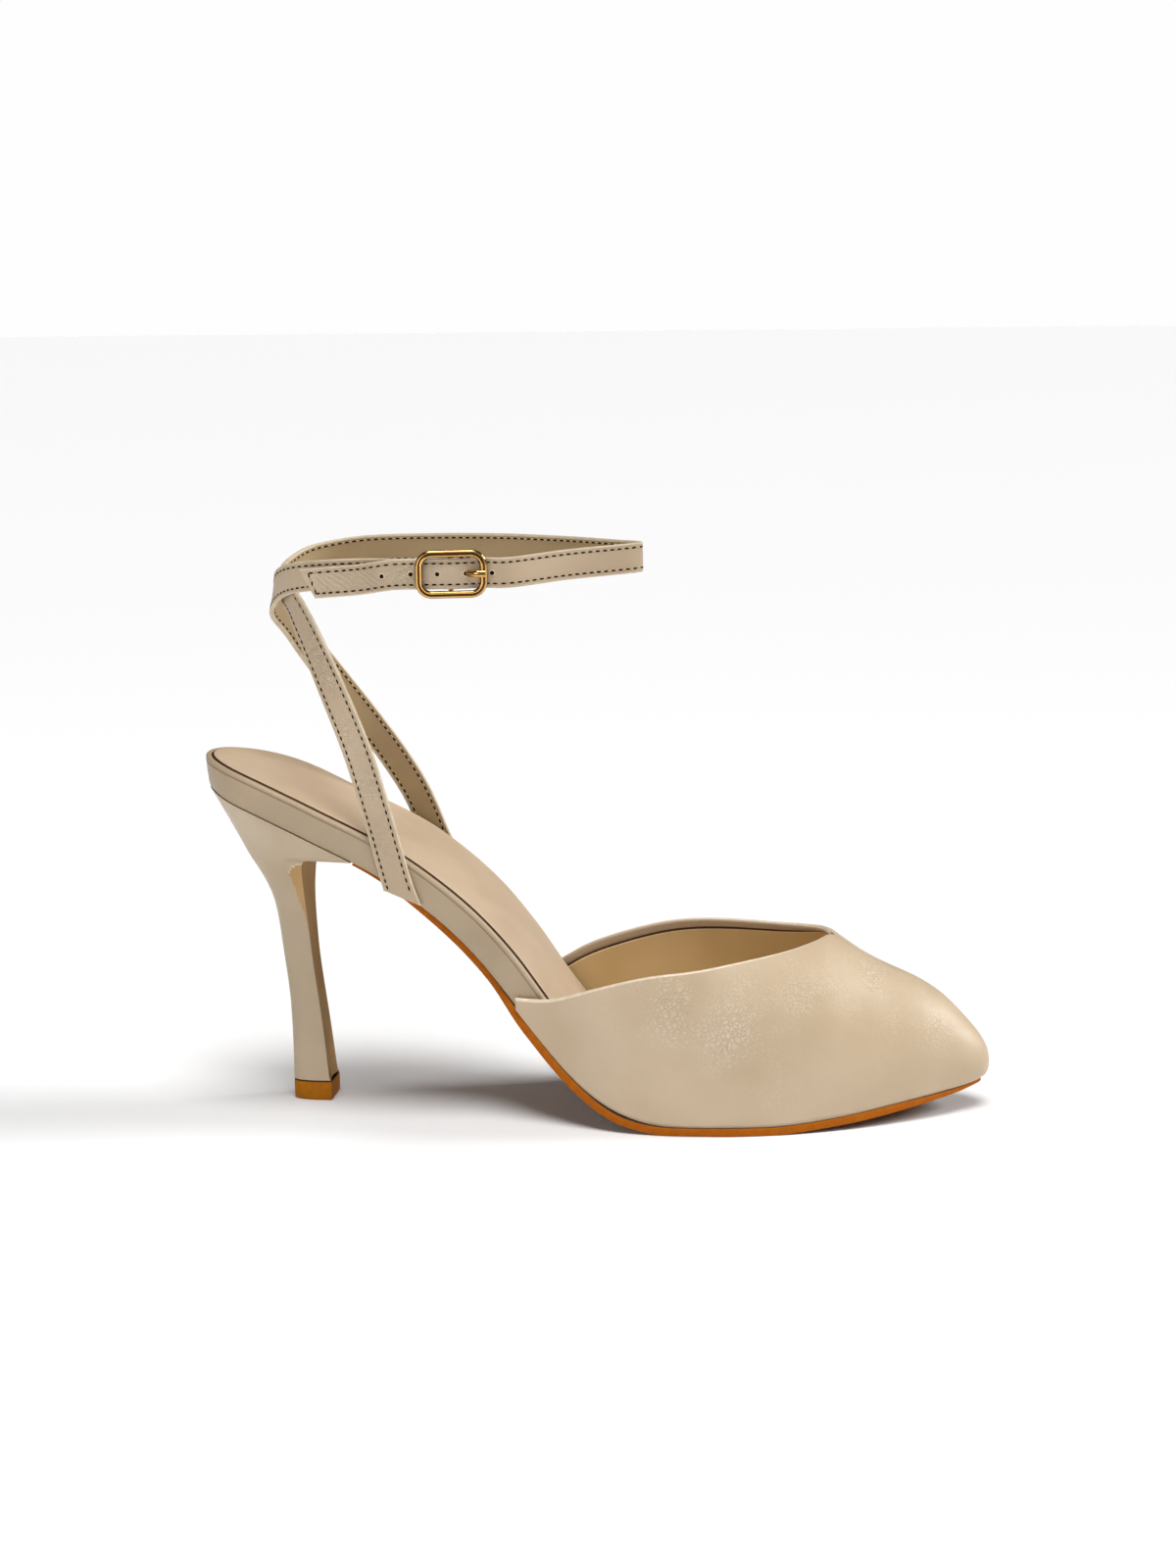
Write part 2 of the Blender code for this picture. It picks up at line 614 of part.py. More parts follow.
def base_spot(side, along, lift, skew=0.0):
    """Spot of a strap against the footbed's side, lifted by a share of the footbed's thickness."""
    reach = math.copysign(FIT + STRAP_THICKNESS / 2, -1 if side == 0 else 1)
    base = OUTSOLE_THICKNESS + FIT
    point = bend(arc_at(along), bed_edges(along)[side] + reach, base + lift * BED_THICKNESS)
    return Spot(point, 180.0 * side, 0.0, STRAP_THICKNESS, skew)


def loop_spots(rows):
    """Spots of a strap for rows of its table."""
    return [Spot(level_place(*row[:3]), row.facing, row.lean, STRAP_THICKNESS, 0.0) for row in rows]


def buckle_spot(along, out, turn=0.0, thick=STRAP_THICKNESS):
    """Spot of a strap at the buckle."""
    return Spot(at_buckle(along, out, 0.0), turn + BUCKLE_FACING, 0.0, thick, 0.0)


def lateral_spots():
    """The outer strap: up from the outer waist, round the back, forward inside, fold and billet."""
    base = [base_spot(0, 0.285, -0.0875, -48.0), base_spot(0, 0.2626, 0.335)]
    beyond = BUCKLE_LENGTH * 0.84
    through = [
        buckle_spot(beyond, 0.0, 360),
        buckle_spot(SIDE_BAR, -BILLET_WAVE, 360),
        buckle_spot(0.0, BILLET_WAVE, 360),
        buckle_spot(-SIDE_BAR, -BILLET_WAVE, 360),
        buckle_spot(-beyond, 0.0, 362),
    ]
    billet = loop_spots(LATERAL_BILLET)
    billet[-1] = billet[-1]._replace(skew=24.0)
    return base + loop_spots(LATERAL_LOOP) + through + billet


def medial_spots():
    """The inner strap: up from the inner waist, round the back and forward to the buckle's bar."""
    base = [base_spot(1, 0.303, -0.0875, 48.0), base_spot(1, 0.268, 0.60)]
    fold, reach = STRAP_FOLD_THICKNESS, FOLD_RADIUS
    under = STRAP_THICKNESS + BILLET_WAVE
    spots = [
        buckle_spot(-1.5 * SIDE_BAR, -1.1 * under),
        buckle_spot(-0.87 * SIDE_BAR, -1.55 * under),
        buckle_spot(-0.43 * SIDE_BAR, BAR_OUT - reach, 0, fold),
        buckle_spot(-0.13 * SIDE_BAR, BAR_OUT - reach, 0, fold),
    ]
    for degrees in (0, 45, 90, 135, 180):
        angle = math.radians(degrees)
        along, out = reach * math.sin(angle), BAR_OUT - reach * math.cos(angle)
        spots.append(buckle_spot(along, out, degrees, fold))
    spots.append(buckle_spot(-0.22 * SIDE_BAR, BAR_OUT + reach - fold * 0.25, 180, fold))
    spots.append(buckle_spot(-0.54 * SIDE_BAR, BAR_OUT + reach - fold * 0.9, 180, fold))
    return base + loop_spots(MEDIAL_LOOP) + spots


def wire(name, points, diameter, closed, material, collection):
    """Round wire through the points, as one closed mesh."""
    curve = bpy.data.curves.new(name, "CURVE")
    curve.dimensions = "3D"
    curve.bevel_depth = diameter / 2
    curve.bevel_resolution = 2
    curve.use_fill_caps = not closed
    line = curve.splines.new("POLY")
    line.points.add(len(points) - 1)
    for spot, point in zip(line.points, points):
        spot.co = (*point, 1)
    line.use_cyclic_u = closed
    guide = bpy.data.objects.new(name + "_guide", curve)
    collection.objects.link(guide)
    graph = bpy.context.evaluated_depsgraph_get()
    data = bpy.data.meshes.new_from_object(guide.evaluated_get(graph))
    bpy.data.objects.remove(guide)
    mesh = bmesh.new()
    mesh.from_mesh(data)
    bpy.data.meshes.remove(data)
    return mesh_object(name, mesh, material, collection)


def cutter(thing, collection):
    """Mark an object as a tool that shapes another one."""
    thing.hide_render = True
    thing.display_type = "WIRE"
    for home in thing.users_collection:
        home.objects.unlink(thing)
    collection.objects.link(thing)
    return thing


def combine(thing, tool, operation):
    step = thing.modifiers.new(tool.name, "BOOLEAN")
    step.operation = operation
    step.object = tool


def frame_loop():
    """Middle line of the buckle's rounded frame."""
    half_long = SIDE_BAR - BUCKLE_CORNER
    half_high = (BUCKLE_HEIGHT - BUCKLE_WIRE) / 2 - BUCKLE_CORNER
    points = []
    for corner, (sx, sz) in enumerate(((1, 1), (-1, 1), (-1, -1), (1, -1))):
        for i in range(6):
            angle = math.radians(corner * 90 + i * 18)
            along = sx * half_long + BUCKLE_CORNER * math.cos(angle)
            up = sz * half_high + BUCKLE_CORNER * math.sin(angle)
            points.append(at_buckle(along, FRAME_OUT, up))
    return points


def make_buckle(material, parts, tools):
    frame = wire("buckle_frame", frame_loop(), BUCKLE_WIRE, True, material, parts)
    rail = (BUCKLE_HEIGHT - BUCKLE_WIRE) / 2
    path = [(FRAME_OUT, rail), (0.0, rail), (BAR_OUT * 0.72, rail * 0.983), (BAR_OUT, rail * 0.862)]
    path += [(out, -up) for out, up in path[::-1]]
    points = [at_buckle(0.0, out, up) for out, up in path]
    bar = wire("buckle_bar", points, BAR_WIRE, False, material, parts)
    combine(frame, cutter(bar, tools), "UNION")
    return frame


def prong_path():
    """Middle line of the prong: an open eye round the bar, through the billet and over the frame."""
    eye = BAR_WIRE / 2 + FIT + PRONG_WIRE / 2
    path = []
    for degrees in range(215, -31, -35):
        angle = math.radians(degrees)
        path.append((eye * math.cos(angle), BAR_OUT - eye * math.sin(angle)))
    over = FRAME_OUT + (BUCKLE_WIRE + PRONG_WIRE) / 2 + FIT
    path += [
        (SIDE_BAR * 0.32, BAR_OUT * 0.45),
        (PRONG_HOLE, BILLET_WAVE * 0.3),
        (SIDE_BAR * 0.60, FRAME_OUT + PRONG_WIRE * 0.36),
        (SIDE_BAR * 0.78, over - PRONG_WIRE * 0.18),
        (SIDE_BAR * 1.04, over),
    ]
    return path


def make_prong(material, collection):
    points = [at_buckle(along, out, 0.0) for along, out in prong_path()]
    return wire("buckle_prong", points, PRONG_WIRE, False, material, collection)


def round_cutter(name, spot, direction, radius, depth, tools):
    """Round cutter through a spot, along a direction."""
    mesh = bmesh.new()
    bmesh.ops.create_cone(mesh, cap_ends=True, segments=12, radius1=radius, radius2=radius, depth=depth)
    data = bpy.data.meshes.new(name)
    mesh.to_mesh(data)
    mesh.free()
    thing = bpy.data.objects.new(name, data)
    tools.objects.link(thing)
    thing.location = spot
    thing.rotation_euler = direction.to_track_quat("Z", "Y").to_euler()
    return cutter(thing, tools)


def slot_cutter(name, start, end, radius, depth, tools):
    """Long cutter from start to end along the buckle, square to it."""
    mesh = bmesh.new()
    bmesh.ops.create_cube(mesh, size=1.0)
    data = bpy.data.meshes.new(name)
    mesh.to_mesh(data)
    mesh.free()
    thing = bpy.data.objects.new(name, data)
    tools.objects.link(thing)
    low, high = at_buckle(start, 0, 0), at_buckle(end, 0, 0)
    thing.location = (low + high) / 2
    thing.scale = ((high - low).length, depth, radius * 2)
    thing.rotation_euler = (0, 0, BUCKLE_TURN)
    return cutter(thing, tools)


def cut_holes(billet, fold, tools):
    """Cut the billet's row of holes, the one the prong fills as a slot, and the fold's slot."""
    outward = facing_normal(BUCKLE_FACING, 0)
    clearance = PRONG_WIRE / 2 + FIT
    reach = HOLE_DIAMETER / 2 + PRONG_WIRE
    depth = 5 * STRAP_THICKNESS
    slot = slot_cutter("prong_hole", PRONG_HOLE - reach, PRONG_HOLE + reach, clearance, depth, tools)
    combine(billet, slot, "DIFFERENCE")
    for i, step in enumerate((-3, -2, -1, 1)):
        spot = at_buckle(PRONG_HOLE + step * HOLE_PITCH, 0.0, 0.0)
        hole = round_cutter(f"billet_hole_{i}", spot, outward, HOLE_DIAMETER / 2, depth, tools)
        combine(billet, hole, "DIFFERENCE")
    reach = BAR_WIRE / 2 + 2 * (PRONG_WIRE + FIT)
    depth = 4 * (FOLD_RADIUS + STRAP_THICKNESS)
    opening = slot_cutter("fold_slot", -reach, reach, clearance, depth, tools)
    combine(fold, opening, "DIFFERENCE")


def make_material(name, color, roughness, metallic=0.0):
    material = bpy.data.materials.new(name)
    material.use_nodes = True
    shader = material.node_tree.nodes["Principled BSDF"]
    shader.inputs["Base Color"].default_value = (*color, 1)
    shader.inputs["Roughness"].default_value = roughness
    shader.inputs["Metallic"].default_value = metallic
    material.diffuse_color = (*color, 1)
    return material


def make_collection(name):
    collection = bpy.data.collections.new(name)
    bpy.context.scene.collection.children.link(collection)
    return collection


def main():
    for thing in list(bpy.data.objects):
        bpy.data.objects.remove(thing)
    parts = make_collection("ankle_strap_pump")
    tools = make_collection("cutters")
    leather = make_material("beige_leather", (0.58, 0.45, 0.32), 0.5)
    band = make_material("strap_leather", (0.56, 0.44, 0.31), 0.5)
    wrap = make_material("footbed_leather", (0.56, 0.43, 0.31), 0.5)
    heel_skin = make_material("heel_leather", (0.55, 0.42, 0.30), 0.5)
    lining = make_material("sock_leather", (0.66, 0.50, 0.37), 0.6)
    sole = make_material("tan_outsole", (0.48, 0.17, 0.03), 0.4)
    tip = make_material("tan_top_piece", (0.42, 0.16, 0.02), 0.4)
    gold = make_material("gold_metal", (0.78, 0.60, 0.30), 0.2, 1.0)
    make_outsole(sole, parts)
    make_heel(heel_skin, parts)
    make_top_piece(tip, parts)
    make_footbed(wrap, parts)
    make_sock(lining, parts)
    make_upper(leather, parts)
    billet = make_strap("strap_lateral", lateral_spots(), band, parts)
    fold = make_strap("strap_medial", medial_spots(), band, parts)
    make_buckle(gold, parts, tools)
    make_prong(gold, parts)
    cut_holes(billet, fold, tools)
    for thing in bpy.data.objects:
        thing.location.x -= MIDDLE_ALONG * SOLE_LENGTH
        thing.location.y -= MIDDLE_ACROSS * BALL_WIDTH


main()
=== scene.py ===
"""Looks of the ankle strap pump. X runs from the heel to the toe, -Y is the outer side, Z is up; metres."""
import math

import bmesh
import bpy
import numpy as np
from mathutils import Matrix, Vector


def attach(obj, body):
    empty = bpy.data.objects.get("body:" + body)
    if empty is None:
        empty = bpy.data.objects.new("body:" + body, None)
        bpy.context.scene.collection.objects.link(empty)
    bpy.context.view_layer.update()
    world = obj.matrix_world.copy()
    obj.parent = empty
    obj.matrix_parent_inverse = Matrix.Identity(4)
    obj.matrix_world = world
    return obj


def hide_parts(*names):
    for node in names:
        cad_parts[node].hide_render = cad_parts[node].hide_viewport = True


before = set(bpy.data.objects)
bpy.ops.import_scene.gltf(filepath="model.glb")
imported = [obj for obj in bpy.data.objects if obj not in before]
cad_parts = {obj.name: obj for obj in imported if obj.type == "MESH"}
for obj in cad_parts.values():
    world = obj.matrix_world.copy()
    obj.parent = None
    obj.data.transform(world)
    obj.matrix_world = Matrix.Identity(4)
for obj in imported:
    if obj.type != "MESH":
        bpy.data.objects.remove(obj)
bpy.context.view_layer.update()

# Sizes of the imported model
SOLE_LENGTH = 0.232
SEAT_HEIGHT = 0.096
BALL_WIDTH = 0.0655
SEAT_ROUND = 0.030
TOE_ROUND = 0.0065
OUTSOLE = 0.0022
TUCK = 0.0022
FIT = 0.0003
BED = 0.0088
WALL = 0.0016
THROAT_HEIGHT = 0.0526
BULGE = 0.10
TOP_PIECE = 0.0058
HEEL_HALF_WIDTH = 0.0251
HEEL_BREAST = 0.2145
ANKLE_RISE = 0.0646
STRAP_WIDTH = 0.0087
STRAP = 0.0014
FOLD = 0.0008
WAVE = 0.0006
BUCKLE_LENGTH = 0.0203
BUCKLE_WIRE = 0.0019
BUCKLE_HEIGHT = STRAP_WIDTH + 2 * (BUCKLE_WIRE + 0.0005)
BUCKLE_CORNER = 0.0036
BAR_WIRE = 0.0015
PRONG_WIRE = 0.0011
HOLE_PITCH = 0.0079
BUCKLE_TURN = math.radians(13.3)
SHIFT = np.array([-0.0058 * SOLE_LENGTH, -0.0084 * BALL_WIDTH, 0.0])

# How scene.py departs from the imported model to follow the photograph
UNDERCUT = 0.0032       # how far the seat's wall leans in at the very back
OUTSOLE_SHORT = 0.0022  # how much shorter the outsole ends at the toe
OUTSOLE_PROUD = 0.0003  # how much further its edge stands out in front of the waist
OUTSOLE_HIGH = 0.2      # share of its thickness by which that edge stands higher

# The footbed's rim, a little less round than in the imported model, and its tip
BED_EDGE = 0.0022       # depth of the rim's round edge
BED_EDGE_SHARE = 0.4    # most of the footbed's thickness that it takes
TOE_STAND_BACK = 0.0017     # how far the footbed's tip stands back inside the vamp's toe
TOE_STAND_START = 0.92      # share of the sole's length from which it comes to stand back

# Camera: bearing, elevation, roll in degrees, distance and the point at the middle of the picture
CAMERA = dict(bearing=8.0, rise=10.0, roll=-0.8047, distance=0.9, aim=(0.0009, 0.0, 0.09625), focal=3132.0)

# along, height of the underside, lateral edge, medial edge, thickness of the footbed
SOLE = np.array([
    (0.000, 0.9850, 0.384, 0.384, 1.00), (0.030, 0.9665, 0.384, 0.384, 1.00),
    (0.083, 0.9260, 0.384, 0.384, 1.00), (0.173, 0.8250, 0.382, 0.384, 1.00),
    (0.248, 0.7354, 0.394, 0.394, 1.00), (0.291, 0.6646, 0.390, 0.388, 1.00),
    (0.339, 0.5646, 0.374, 0.372, 1.00), (0.380, 0.4510, 0.352, 0.350, 1.00),
    (0.428, 0.2948, 0.344, 0.332, 0.96), (0.470, 0.1760, 0.378, 0.345, 0.86),
    (0.496, 0.1167, 0.408, 0.370, 0.78), (0.528, 0.0583, 0.442, 0.408, 0.70),
    (0.559, 0.0229, 0.468, 0.440, 0.62), (0.599, 0.0030, 0.486, 0.476, 0.56),
    (0.625, 0.0000, 0.491, 0.492, 0.55), (0.680, 0.0000, 0.484, 0.508, 0.54),
    (0.741, 0.0000, 0.448, 0.502, 0.52), (0.827, 0.0160, 0.345, 0.438, 0.48),
    (0.914, 0.0430, 0.178, 0.318, 0.42), (0.960, 0.0560, 0.060, 0.228, 0.38),
    (1.000, 0.0680, -0.040, 0.150, 0.36),
])

# foot, ridge, rise, fullness, lateral and medial cut of the upper's hoops
RINGS = np.array([
    (0.4145, 0.413, 1.91, 2.30, 0.052, 0.040), (0.4400, 0.440, 1.84, 2.30, 0.152, 0.158),
    (0.4700, 0.470, 1.75, 2.30, 0.262, 0.315), (0.5160, 0.516, 1.58, 2.30, 0.436, 0.490),
    (0.5900, 0.590, 1.40, 2.30, 0.612, 0.665), (0.6500, 0.650, 1.28, 2.30, 0.694, 0.748),
    (0.7050, 0.705, 1.19, 2.30, 0.785, 0.806), (0.7550, 0.757, 1.10, 2.30, 0.878, 0.876),
    (0.7900, 0.797, 1.025, 2.30, 0.972, 0.968), (0.8010, 0.809, 1.000, 2.30, 1.0, 1.0),
    (0.8140, 0.826, 0.950, 2.25, 1.0, 1.0), (0.8350, 0.853, 0.871, 2.15, 1.0, 1.0),
    (0.8620, 0.886, 0.803, 2.05, 1.0, 1.0), (0.8920, 0.920, 0.738, 2.00, 1.0, 1.0),
    (0.9230, 0.952, 0.642, 2.00, 1.0, 1.0), (0.9520, 0.978, 0.520, 2.00, 1.0, 1.0),
    (0.9740, 0.9985, 0.412, 2.00, 1.0, 1.0), (0.9880, 1.0095, 0.305, 2.00, 1.0, 1.0),
    (0.9960, 1.0095, 0.225, 2.00, 1.0, 1.0), (1.0000, 1.0030, 0.172, 2.00, 1.0, 1.0),
])

# rise, back, front, half width of the side and of the breast, squareness of the heel's sections
STEM = np.array([
    (0.000, 0.1142, 0.1668, 0.244, 0.236, 3.4), (0.130, 0.1140, 0.1617, 0.230, 0.222, 3.2),
    (0.230, 0.1132, 0.1575, 0.216, 0.206, 3.0), (0.350, 0.1105, 0.1512, 0.206, 0.196, 2.8),
    (0.460, 0.1045, 0.1456, 0.212, 0.202, 2.6), (0.560, 0.1000, 0.1426, 0.236, 0.226, 2.4),
    (0.640, 0.0945, 0.1402, 0.284, 0.270, 2.3), (0.705, 0.0830, 0.1394, 0.370, 0.345, 2.2),
    (0.776, 0.0632, 0.1410, 0.500, 0.470, 2.1),
])

# along, across, up, facing, lean of the straps' middles
LATERAL_LOOP = [
    (0.2539, -0.4031, -0.0542, 4, -3), (0.2315, -0.3817, 0.2012, 6, -5),
    (0.2034, -0.3450, 0.4412, 11, -8), (0.1741, -0.2962, 0.6656, 22, -10),
    (0.1483, -0.2260, 0.8297, 38, -8), (0.1276, -0.1221, 0.9009, 60, -2),
    (0.1181, 0.0000, 0.9288, 90, 0), (0.1216, 0.1221, 0.9567, 116, 0),
    (0.1388, 0.2473, 0.9954, 138, 0), (0.1703, 0.3237, 1.0186, 158, 0),
    (0.2155, 0.3573, 1.0356, 173, 0), (0.2974, 0.3389, 1.0449, 188, 0),
    (0.3858, 0.2779, 1.0495, 195, 0), (0.4741, 0.1756, 1.0464, 202, 0),
    (0.5409, 0.0641, 1.0418, 207, 0), (0.5642, 0.0290, 1.0402, 213, 0),
    (0.5741, 0.0000, 1.0387, 270, 0), (0.5642, -0.0336, 1.0356, 327, 0),
    (0.5409, -0.0748, 1.0310, 333, 0), (0.4871, -0.1679, 1.0201, 338, 0),
]
LATERAL_BILLET = [
    (0.2392, -0.3847, 0.9768, 359, 0), (0.2026, -0.3847, 0.9659, 364, 0),
    (0.1741, -0.3710, 0.9567, 369, 0),
]
MEDIAL_LOOP = [
    (0.2621, 0.4031, -0.1238, 178, -3), (0.2345, 0.3756, 0.0542, 174, -5),
    (0.2026, 0.3298, 0.2322, 168, -7), (0.1681, 0.2687, 0.4180, 156, -8),
    (0.1405, 0.1863, 0.5820, 138, -8), (0.1198, 0.0977, 0.7183, 114, -4),
    (0.1078, 0.0000, 0.8173, 90, 14), (0.1147, -0.1069, 0.8916, 64, 12),
    (0.1302, -0.2076, 0.9443, 42, 4), (0.1569, -0.2962, 0.9768, 18, 0),
    (0.1983, -0.3481, 0.9938, 5, 0), (0.2457, -0.3527, 1.0000, -2, 0),
]


# Curves and surfaces

def smooth(xs, ys, at):
    """Values on a curve without overshoot through the points."""
    at = np.clip(np.asarray(at, float), xs[0], xs[-1])
    slope = np.diff(ys) / np.diff(xs)
    before, after = slope[:-1], slope[1:]
    total = np.where(before + after == 0, 1.0, before + after)
    mean = np.where(before * after > 0, 2 * before * after / total, 0.0)
    tangent = np.concatenate([slope[:1], mean, slope[-1:]])
    i = np.clip(np.searchsorted(xs, at, side="right") - 1, 0, len(xs) - 2)
    span = xs[i + 1] - xs[i]
    t = (at - xs[i]) / span
    rise = (2 * t**3 - 3 * t**2 + 1) * ys[i] + (3 * t**2 - 2 * t**3) * ys[i + 1]
    return rise + ((t**3 - 2 * t**2 + t) * tangent[i] + (t**3 - t**2) * tangent[i + 1]) * span


def soft(values, width, axis=0):
    """Values averaged along an axis with a bell of the given width in steps, with their ends kept."""
    reach = int(width * 3)
    bell = np.exp(-0.5 * (np.arange(-reach, reach + 1) / width) ** 2)
    bell /= bell.sum()
    moved = np.moveaxis(values, axis, 0)
    first = 2 * moved[:1] - moved[1:reach + 1][::-1]
    last = 2 * moved[-1:] - moved[-reach - 1:-1][::-1]
    padded = np.concatenate([first, moved, last])
    result = sum(w * padded[i:i + len(moved)] for i, w in enumerate(bell))
    return np.moveaxis(result, 0, axis)


def unit(vectors):
    """Vectors of length 1."""
    return vectors / np.linalg.norm(vectors, axis=-1, keepdims=True)


def run_along(points):
    """Distance along a row of points."""
    return np.concatenate([[0.0], np.cumsum(np.linalg.norm(np.diff(points, axis=0), axis=1))])


def step(low, high, value):
    """Smooth rise from 0 at low to 1 at high."""
    t = np.clip((np.asarray(value, float) - low) / (high - low), 0.0, 1.0)
    return t * t * (3 - 2 * t)


GRID = np.linspace(0.0, 1.0, 1601)
UNDER_HEIGHT = soft(smooth(SOLE[:, 0], SOLE[:, 1], GRID), 8) * SEAT_HEIGHT
UNDER = np.stack([(GRID - 0.5) * SOLE_LENGTH, UNDER_HEIGHT], 1)
ARC = run_along(UNDER)
TANGENT = unit(soft(np.gradient(UNDER, axis=0), 6))


def arc_at(along):
    """Distance along the bent sole at a share of its length."""
    return np.interp(along, GRID, ARC)


def along_at(arc):
    """Share of the sole's length at a distance along it."""
    return np.interp(arc, ARC, GRID)


def bend(arc, across, lift):
    """Points at a distance along the bent sole, across it and lifted square to its underside."""
    arc, across, lift = np.broadcast_arrays(*[np.asarray(v, float) for v in (arc, across, lift)])
    held = np.clip(arc, 0.0, ARC[-1])
    tx, tz = np.interp(held, ARC, TANGENT[:, 0]), np.interp(held, ARC, TANGENT[:, 1])
    extra = arc - held
    x = np.interp(held, ARC, UNDER[:, 0]) + tx * extra - tz * lift
    z = np.interp(held, ARC, UNDER[:, 1]) + tz * extra + tx * lift
    return np.stack([x, across, z], -1)


def table_edges(along):
    """Lateral and medial edge of the sole, before its ends are rounded."""
    lateral = -smooth(SOLE[:, 0], SOLE[:, 2], along) * BALL_WIDTH
    medial = smooth(SOLE[:, 0], SOLE[:, 3], along) * BALL_WIDTH
    return lateral, medial


def rounded(distance, depth):
    """Share of the full width near a round end of the given depth."""
    return np.sqrt(np.clip(1 - np.clip(1 - distance / depth, 0.0, 1.0) ** 2, 0.0, 1.0))


def end_share(arc, grow):
    """Share of the full width that both round ends leave, with the outline grown by a length."""
    return rounded(arc + grow, SEAT_ROUND + grow) * rounded(ARC[-1] + grow - arc, TOE_ROUND + grow)


def bed_edges(along):
    """Lateral and medial edge of the footbed."""
    lateral, medial = table_edges(along)
    middle = (lateral + medial) / 2
    share = end_share(arc_at(along), 0.0)
    return middle + (lateral - middle) * share, middle + (medial - middle) * share


def bed_lift(arc):
    """Height of the footbed's rim above the sole's underside."""
    return OUTSOLE + FIT + smooth(SOLE[:, 0], SOLE[:, 4], along_at(arc)) * BED


def outline(along, grow):
    """Arc and both sides of the footbed's outline, grown by a length."""
    start = arc_at(along)
    back = np.clip(1 - start / SEAT_ROUND, 0.0, None)
    front = np.clip(1 - (ARC[-1] - start) / TOE_ROUND, 0.0, None)
    arc = start + grow * (front - back)
    lateral, medial = table_edges(along_at(arc))
    middle, half = (lateral + medial) / 2, (medial - lateral) / 2
    reach = (half + grow) * end_share(arc, grow)
    return arc, middle - reach, middle + reach


def seat_lean(along):
    """How far the seat's wall leans in at its foot."""
    return UNDERCUT * (1 - step(0.0, 0.075, along))


def around(along, grow, lift):
    """Closed loop of points along the outline: out along the lateral side, back along the medial one."""
    arc = arc_at(along)
    down = (bed_lift(arc) - lift(arc)) / (bed_lift(arc) - OUTSOLE)
    inset = seat_lean(along) * np.clip(down, 0.0, 1.0) + TOE_STAND_BACK * step(TOE_STAND_START, 1.0, along)
    arc, left, right = outline(along, grow - inset)
    high = lift(arc)
    return np.concatenate([bend(arc, left, high), bend(arc, right, high)[-2:0:-1]])


def stations(start, end, count):
    """Places from start to end, closer together at both ends."""
    return start + (end - start) * (1 - np.cos(np.pi * np.arange(count + 1) / count)) / 2


# Meshes

def grid_faces(rows, columns, closed=False):
    """Faces of a grid of points, whose columns may close on themselves."""
    faces = []
    for i in range(rows - 1):
        low, high = i * columns, (i + 1) * columns
        for j in range(columns if closed else columns - 1):
            k = (j + 1) % columns
            faces.append((low + j, low + k, high + k, high + j))
    return faces


def end_faces(rows, columns):
    """Flat faces that close the first and the last loop."""
    last = (rows - 1) * columns
    return [tuple(range(columns))[::-1], tuple(range(last, last + columns))]


def cap_faces(first, size):
    """Faces across a loop, from each point to the one that mirrors it."""
    last = first + size - 1
    return [(first + i, first + i + 1, last - 1 - i, last - i) for i in range(size // 2 - 1)]


def add_mesh(name, points, faces, materials, slots, node=None, sharp=None, merge=None, layers=None):
    """Piece from points and faces, which rides on the part's only body; layers are numbers at its points."""
    data = bpy.data.meshes.new(name)
    data.from_pydata((np.asarray(points, float) + SHIFT).tolist(), [], faces)
    for material in materials:
        data.materials.append(material)
    data.polygons.foreach_set("material_index", np.asarray(slots, dtype=np.int32))
    data.shade_smooth()
    if sharp:
        data.set_sharp_from_angle(angle=math.radians(sharp))
    data.update()
    for key, values in (layers or {}).items():
        layer = data.attributes.new(key, "FLOAT", "POINT")
        layer.data.foreach_set("value", np.asarray(values, dtype=np.float32))
    piece = bpy.data.objects.new(name, data)
    bpy.context.scene.collection.objects.link(piece)
    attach(piece, "root")
    if node:
        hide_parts(node)
    if merge:
        weld(data, merge)
    return piece


def weld(data, distance):
    """Merge points that lie together and turn the faces outward."""
    mesh = bmesh.new()
    mesh.from_mesh(data)
    bmesh.ops.remove_doubles(mesh, verts=mesh.verts, dist=distance)
    bmesh.ops.recalc_face_normals(mesh, faces=mesh.faces)
    mesh.to_mesh(data)
    mesh.free()


def lofted(name, rows, materials, slot_at, node, sharp=None, caps=(0, 0), across=cap_faces):
    """Piece through loops of points, of which the first and last are closed across."""
    size = len(rows[0])
    faces = grid_faces(len(rows), size, closed=True)
    slots = [slot_at(*divmod(i, size)) for i in range(len(faces))]
    for level, cap in zip((0, len(rows) - 1), caps):
        made = across(level * size, size)
        faces += made
        slots += [cap] * len(made)
    return add_mesh(name, np.concatenate(rows), faces, materials, slots, node, sharp, 1e-7)


def bands(*counts):
    """Material of each face by its level, from pairs of a material and its count of levels."""
    listed = []
    for slot, count in counts:
        listed += [slot] * count
    return lambda level, column: listed[level]


# Materials

def add(tree, kind, inputs=None, **settings):
    """Node with its settings, and its inputs given as values or as sockets to link."""
    made = tree.nodes.new(kind)
    for key, value in settings.items():
        setattr(made, key, value)
    for key, value in (inputs or {}).items():
        if isinstance(value, bpy.types.NodeSocket):
            tree.links.new(value, made.inputs[key])
        else:
            made.inputs[key].default_value = value
    return made


def remap(tree, value, low, high, out_low=0.0, out_high=1.0):
    """Value moved smoothly from one range to another."""
    made = add(tree, "ShaderNodeMapRange", {0: value, 1: low, 2: high, 3: out_low, 4: out_high})
    made.interpolation_type = "SMOOTHSTEP"
    return made.outputs[0]


def math_node(tree, operation, first, second):
    """Result of arithmetic on two values."""
    return add(tree, "ShaderNodeMath", {0: first, 1: second}, operation=operation).outputs[0]


